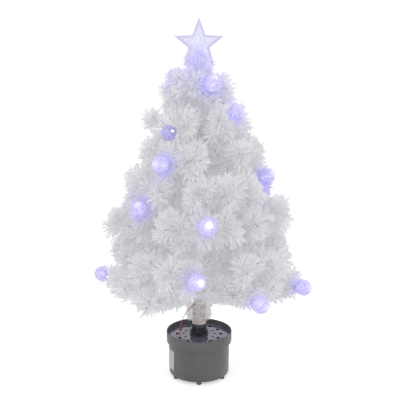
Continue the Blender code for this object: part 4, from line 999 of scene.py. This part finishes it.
def twistedRoutes(points):
    # two strands twisted round each other along the points
    length = routeLength(points)
    steps = max(int(length / twist["step"]), 2)
    strands = ([], [])
    for step in range(steps + 1):
        place, ahead = alongRoute(points, min(length * step / steps, length * 0.9999))  # the last stays inside it
        side = (ahead.cross(up) if abs(ahead.z) < 0.9 else ahead.cross(Vector((0, 1, 0)))).normalized()
        over = side.cross(ahead)
        turn = length * step / steps / twist["pitch"] * 2 * pi
        offset = (side * cos(turn) + over * sin(turn)) * twist["offset"]
        strands[0].append(place + offset)
        strands[1].append(place - offset)
    return strands


def wireMesh(twigs):
    # the twisted wires of a bough, with its cut ends marked
    strands = [strand for points, centre in twigs for strand in twistedRoutes(lampEnd(points, centre))]
    mesh = tubeMesh(strands, twist["strand"], 0)
    ends = np.array([points[-1] for points, centre in twigs if not centre])
    nearest = lengthsOf(placesOf(mesh)[:, None] - ends[None]).min(axis=1)
    setFloat(mesh, "cut", nearest < twist["cutEnd"])
    return mesh


def lampEnd(points, centre):
    # the points up to the light's neck
    reserve = (ball["radius"] + ball["neck"]) * mm
    return [p for p in points if (p - centre).length > reserve] if centre else points


def keepNeedles(name, mesh, body="trunk", replaced=()):
    keepPiece(name, mesh, "needles", body, replaced, 0)


def keepWires(name, twigs, body="trunk"):
    keepPiece(name, wireMesh(twigs), "twig", body, smooth=60)


def sprigFrom(start, bend, tip):
    return arcPoints(start, Vector(bend) * mm, Vector(tip) * mm), None


moreSprigs = {"4_2": [((105, 10, 478), (148, -18, 482))]}  # bend and tip of added side twigs, in mm


def moreRoutes(name, routes):
    start = routes[0][0][round(arcSteps * tiers["twigStart"])]
    return [sprigFrom(start, bend, tip) for bend, tip in moreSprigs.get(name, [])]


# the front boughs of the lowest tier carry no needles that point further down than this (the sine of the angle)
lifted = {"1_1": -0.45, "1_6": -0.6}
total = 0
for seed, (name, routes) in enumerate(boughs.items()):
    if name == "treetop":
        continue
    draw = random.Random(extra["seed"] + seed)
    tier = int(name[0]) - 1
    stem = stemPlan + (innerPlan if tier > extra["innerAbove"] else [])
    main = routes + moreRoutes(name, routes)
    every = main + extraTwigs(main, draw, (stem, twigPlan), -1 if tier else extra["lowestTurn"])
    mesh = foliageMesh(every, seed, sizes=needle["tierSizes"][tier], thinned=lifted.get(name, 0))
    total += len(mesh.vertices) // needle["corners"]
    keepNeedles(f"foliage_{name}", mesh, f"bough_{name}_body", [f"bough_{name}"])
    keepWires(f"wire_{name}", every, f"bough_{name}_body")
print("boughs ready,", total, "needles")


# fans round the two lights of the treetop and before the star: bend point, tip, in mm
topFans = [
    ((-50, -52, 735), (-55, -67, 764)), ((-16, -70, 750), (-60, -60, 768)), ((-30, -30, 712), (-62, -36, 754)),
    ((28, -18, 706), (46, -28, 756)), ((-4, -34, 726), (-14, -62, 757)), ((34, -12, 698), (60, -22, 708)),
    ((-40, -16, 690), (-66, -30, 688)), ((-6, -26, 768), (-13, -27, 812)), ((6, -26, 768), (15, -27, 808)),
]


def makeTreetop():
    t = treetop
    routes = boughs["treetop"]
    draw = random.Random(t["seed"])
    fans = []
    for bend, tip in topFans:  # those before the star start higher up the leader
        low = up * t["starFanLow"] * mm if tip[2] >= t["starFanTip"] else routes[1][0][0]
        fans.append(sprigFrom(low, bend, tip))
    twigs = routes[1:] + fans + extraTwigs(routes[1:] + fans[1:7], draw, (topPlan, topPlan))
    crown = ([up * height * mm for height in t["crown"]], None)
    for (name, facts), wires in zip(topBrushes.items(), ([routes[0]], [crown], twigs)):
        replaced = ["treetop"] if name == "leaderFoliage" else ()
        keepNeedles(name, foliageMesh(wires, *facts), replaced=replaced)
    keepWires("treetopWire", [(routes[0][0] + [up * t["pinTop"] * mm], None)] + twigs)


trunkNeedles = {
    "count": 16000, "low": 146, "high": 666, "shortBelow": 182, "shortShare": 0.6, "sparseBelow": 226,
    "backShare": 0.5, "frontShare": 0.16, "facing": 0.6, "leans": (10, 60), "lengths": (0.6, 1.05), "sway": 0.35,
    "batch": 100, "seed": 700,
}


def makeTrunkNeedles():
    # loose needles out of the trunk's winding, sparse at its foot
    t = trunkNeedles
    draw = random.Random(t["seed"])
    bm, batch = bmesh.new(), bmesh.new()
    for number in range(t["count"]):
        if number % t["batch"] == t["batch"] - 1:
            bm.from_mesh(meshOf(batch))
            batch = bmesh.new()
        height = t["low"] + (t["high"] - t["low"]) * number / t["count"]
        azimuth = degrees(number * goldenAngle)
        facing = cos(radians(azimuth))
        share = t["frontShare"] if facing > t["facing"] else t["backShare"] if facing < -t["facing"] else 1
        if height < t["sparseBelow"] and draw.random() > share:
            continue
        lean = radians(draw.uniform(*t["leans"]))
        short = t["shortShare"] if height < t["shortBelow"] else 1
        length = needle["length"] * draw.uniform(*t["lengths"]) * short
        radial = polar(azimuth, 1, 0)
        sway = radial.cross(up) * draw.uniform(-1, 1) * t["sway"]
        aim = (radial * cos(lean) + up * sin(lean) + sway).normalized()
        addNeedle(batch, polar(azimuth, trunkRadius(height), height) * mm, aim, length, draw.uniform(0, pi))
    bm.from_mesh(meshOf(batch))
    mesh = meshOf(bm)
    keepNeedles("trunkNeedles", dropStruck(mesh, reachOf(mesh), t["seed"]))


makeTreetop()
makeTrunkNeedles()
print("treetop and trunk needles ready")

# globes

def makeGlobe(number, name, points, centre):
    b = ball
    turn = turnTo((points[-1] - points[-3]).normalized())
    matrix = Matrix.Translation(centre) @ turn
    body = "trunk" if name == "treetop" else f"bough_{name}_body"

    def arc(radius, neck, rings):
        step = (pi - asin(neck / radius)) / rings
        return [(radius * sin(step * ring), radius * cos(step * ring)) for ring in range(rings + 1)]

    low = -b["radius"] - b["neck"] + 0.5
    bore = b["ledRadius"] + 0.5
    profile = arc(b["radius"], b["neckRadius"], 24) + [(b["neckRadius"], low), (bore, low)]
    profile += list(reversed(arc(b["radius"] - b["wall"], bore, 20)))
    mesh = spunMesh(profile, 48, 0, matrix)
    shares = (placesOf(mesh) - np.array(centre)) @ np.array(turn @ up) / (b["radius"] * mm)
    # a painted hot spot: full in the globes that face the camera, weaker in the rest
    power = 1 if number in b["brightest"] else b["unfacedHotSpotShare"]
    setFloat(mesh, "core", power * np.clip((shares - b["coreFrom"]) / (1 - b["coreFrom"]), 0, 1) ** 2)
    keepPiece(f"globe_{number}", mesh, "globe", body, [f"ball_{number}"], 60)
    bulb = spunMesh(b["bulb"], 24, 0, matrix)
    keepPiece(f"globeLamp_{number}", bulb, "led", body, smooth=60)
    cap = [(radius, low + height) for radius, height in b["cap"]]
    keepPiece(f"globeCap_{number}", spunMesh(cap, 32, 0.0003, matrix), "cap", body)


for number, (name, points, centre) in enumerate(globes):
    makeGlobe(number + 1, name, points, centre)
print("globes ready")

# star: two ridged clear halves on a holder

star = {
    "height": 841.0, "radius": 61.0, "notch": 0.427, "depth": 9.0, "wall": 1.6, "points": 5, "seam": 0.00015,
    "bore": 3.9, "boreLow": 773.0, "boreTop": 834.5,
    "holder": [
        (0, 811.3), (1.5, 811.3), (1.5, 784), (6, 784), (6, 785.2), (3.6, 792), (3.6, 830.4), (2.6, 833.2), (0, 834),
    ],
}


def starHalf(side):
    s = star
    bm = bmesh.new()
    upright = Matrix.Rotation(radians(90), 4, "X")
    corners = 2 * s["points"]
    bmesh.ops.create_circle(bm, cap_ends=True, segments=corners, radius=s["radius"] * mm, matrix=upright)
    rim = sorted(bm.verts, key=lambda v: atan2(v.co.x, v.co.z) % (2 * pi))
    first = min(range(len(rim)), key=lambda k: (rim[k].co - Vector((0, 0, s["radius"] * mm))).length)
    offset = atan2(rim[first].co.x, rim[first].co.z)
    bmesh.ops.rotate(bm, cent=(0, 0, 0), matrix=Matrix.Rotation(-offset, 3, "Y"), verts=bm.verts)
    notches = [rim[k] for k in range(len(rim)) if (k - first) % 2]
    bmesh.ops.scale(bm, vec=(s["notch"],) * 3, verts=notches)
    bmesh.ops.translate(bm, vec=(0, side * s["seam"], 0), verts=bm.verts)
    peak = bmesh.ops.poke(bm, faces=bm.faces[:])["verts"][0]
    peak.co.y = side * s["depth"] * mm
    bmesh.ops.subdivide_edges(bm, edges=bm.edges[:], cuts=3, use_grid_fill=True)
    giveWall(bm, s["wall"] * mm, lambda face: Vector((0, side, 0)))
    bmesh.ops.translate(bm, vec=(0, 0, s["height"] * mm), verts=bm.verts)
    return meshOf(bm)


def outwardShares(mesh):
    # how far each corner is from the middle towards the outline, 1 at the outline
    s = star
    places = placesOf(mesh) / mm - np.array((0, 0, s["height"]))
    step = 2 * pi / s["points"]
    folded = np.abs((np.arctan2(places[:, 0], places[:, 2]) + step / 2) % step - step / 2)
    away = np.hypot(places[:, 0], places[:, 2])
    tip = np.array((s["radius"], 0))
    notch = s["radius"] * s["notch"] * np.array((cos(step / 2), sin(step / 2)))
    normal = np.array((tip[1] - notch[1], notch[0] - tip[0]))
    normal *= np.sign(normal @ tip) / np.linalg.norm(normal)
    return np.clip((away * np.cos(folded) * normal[0] + away * np.sin(folded) * normal[1]) / (tip @ normal), 0, 1)


def makeStar():
    s = star
    bore = bmesh.new()
    addCylinder(bore, s["bore"] * mm, s["boreLow"] * mm, s["boreTop"] * mm, Matrix(), 32)
    boreMesh = meshOf(bore)
    for name, side in (("star_front", -1), ("star_back", 1)):
        half = cutAway(starHalf(side), boreMesh.copy())
        setFloat(half, "outward", outwardShares(half))
        keepPiece("starFront" if side < 0 else "starBack", half, "star", "star", [name], 25)
    holder = spunMesh(s["holder"], 48, 0.0002)
    keepPiece("starHolder", holder, "cap", "star", ["star_holder"])


makeStar()
print("star ready")

# red lead from the driver board, through a slot, to the trunk

lead = {
    "radius": 0.0009, "start": (-0.04846, -0.02798, 0.0259), "plateTop": 0.1085, "plateBottom": 0.106,
    "shares": ((0, 0, 0.13), (0.03, 0, 0.31), (0.14, 0.04, 0.54), (0.38, 0.12, 0.76), (0.69, 0.27, 0.92)),
    "trunkAzimuth": 236, "trunkHeight": 0.195, "trunkRadius": 0.0183, "straightEnd": 0.003, "bendBelow": 0.0045,
    "step": 0.0015,
}


def makeLead():
    start = Vector(lead["start"])
    end = around(lead["trunkRadius"], lead["trunkAzimuth"], lead["trunkHeight"])
    out = around(1, lead["trunkAzimuth"])
    slot = Vector((start.x, start.y, lead["plateTop"]))
    run = end - slot
    straight = lead["straightEnd"]
    route = [start, start + up * straight, Vector((start.x, start.y, lead["plateBottom"] - lead["bendBelow"]))]
    route += [slot + Vector([part * share for part, share in zip(run, shares)]) for shares in lead["shares"]]
    route += [end + out * straight, end]
    points = []
    for index in range(len(route) - 1):
        before, after = route[max(index - 1, 0)], route[min(index + 2, len(route) - 1)]
        a, b = route[index], route[index + 1]
        count = max(round((b - a).length / lead["step"]), 2)
        pull = (b - a).length / 3
        leave, arrive = a + (b - before).normalized() * pull, b - (after - a).normalized() * pull
        points += interpolate_bezier(a, leave, arrive, b, count + 1)[:-1]
    mesh = tubeMesh([points + [end]], lead["radius"], 3)
    piece = keepPiece("redLead", mesh, "lead", None, ["red_lead"], 60)
    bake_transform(piece)


makeLead()

# inner pieces keep their CAD shapes and get their own finishes

for node, look in (
    ("lamp_holder", "ceramic"), ("halogen_lamp", "mirror"), ("motor", "steel"), ("motor_bracket", "steel"),
    ("driver_board", "board"), ("power_inlet", "black"), ("colour_wheel", "wheel"), ("wheel_hub", "black"),
    ("fibre_bundle", "fibre"),
):
    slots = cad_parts[node].data.materials
    if not slots:
        slots.append(None)
    for index in range(len(slots)):
        slots[index] = materials[look]

bpy.context.scene.view_settings.view_transform = "Standard"
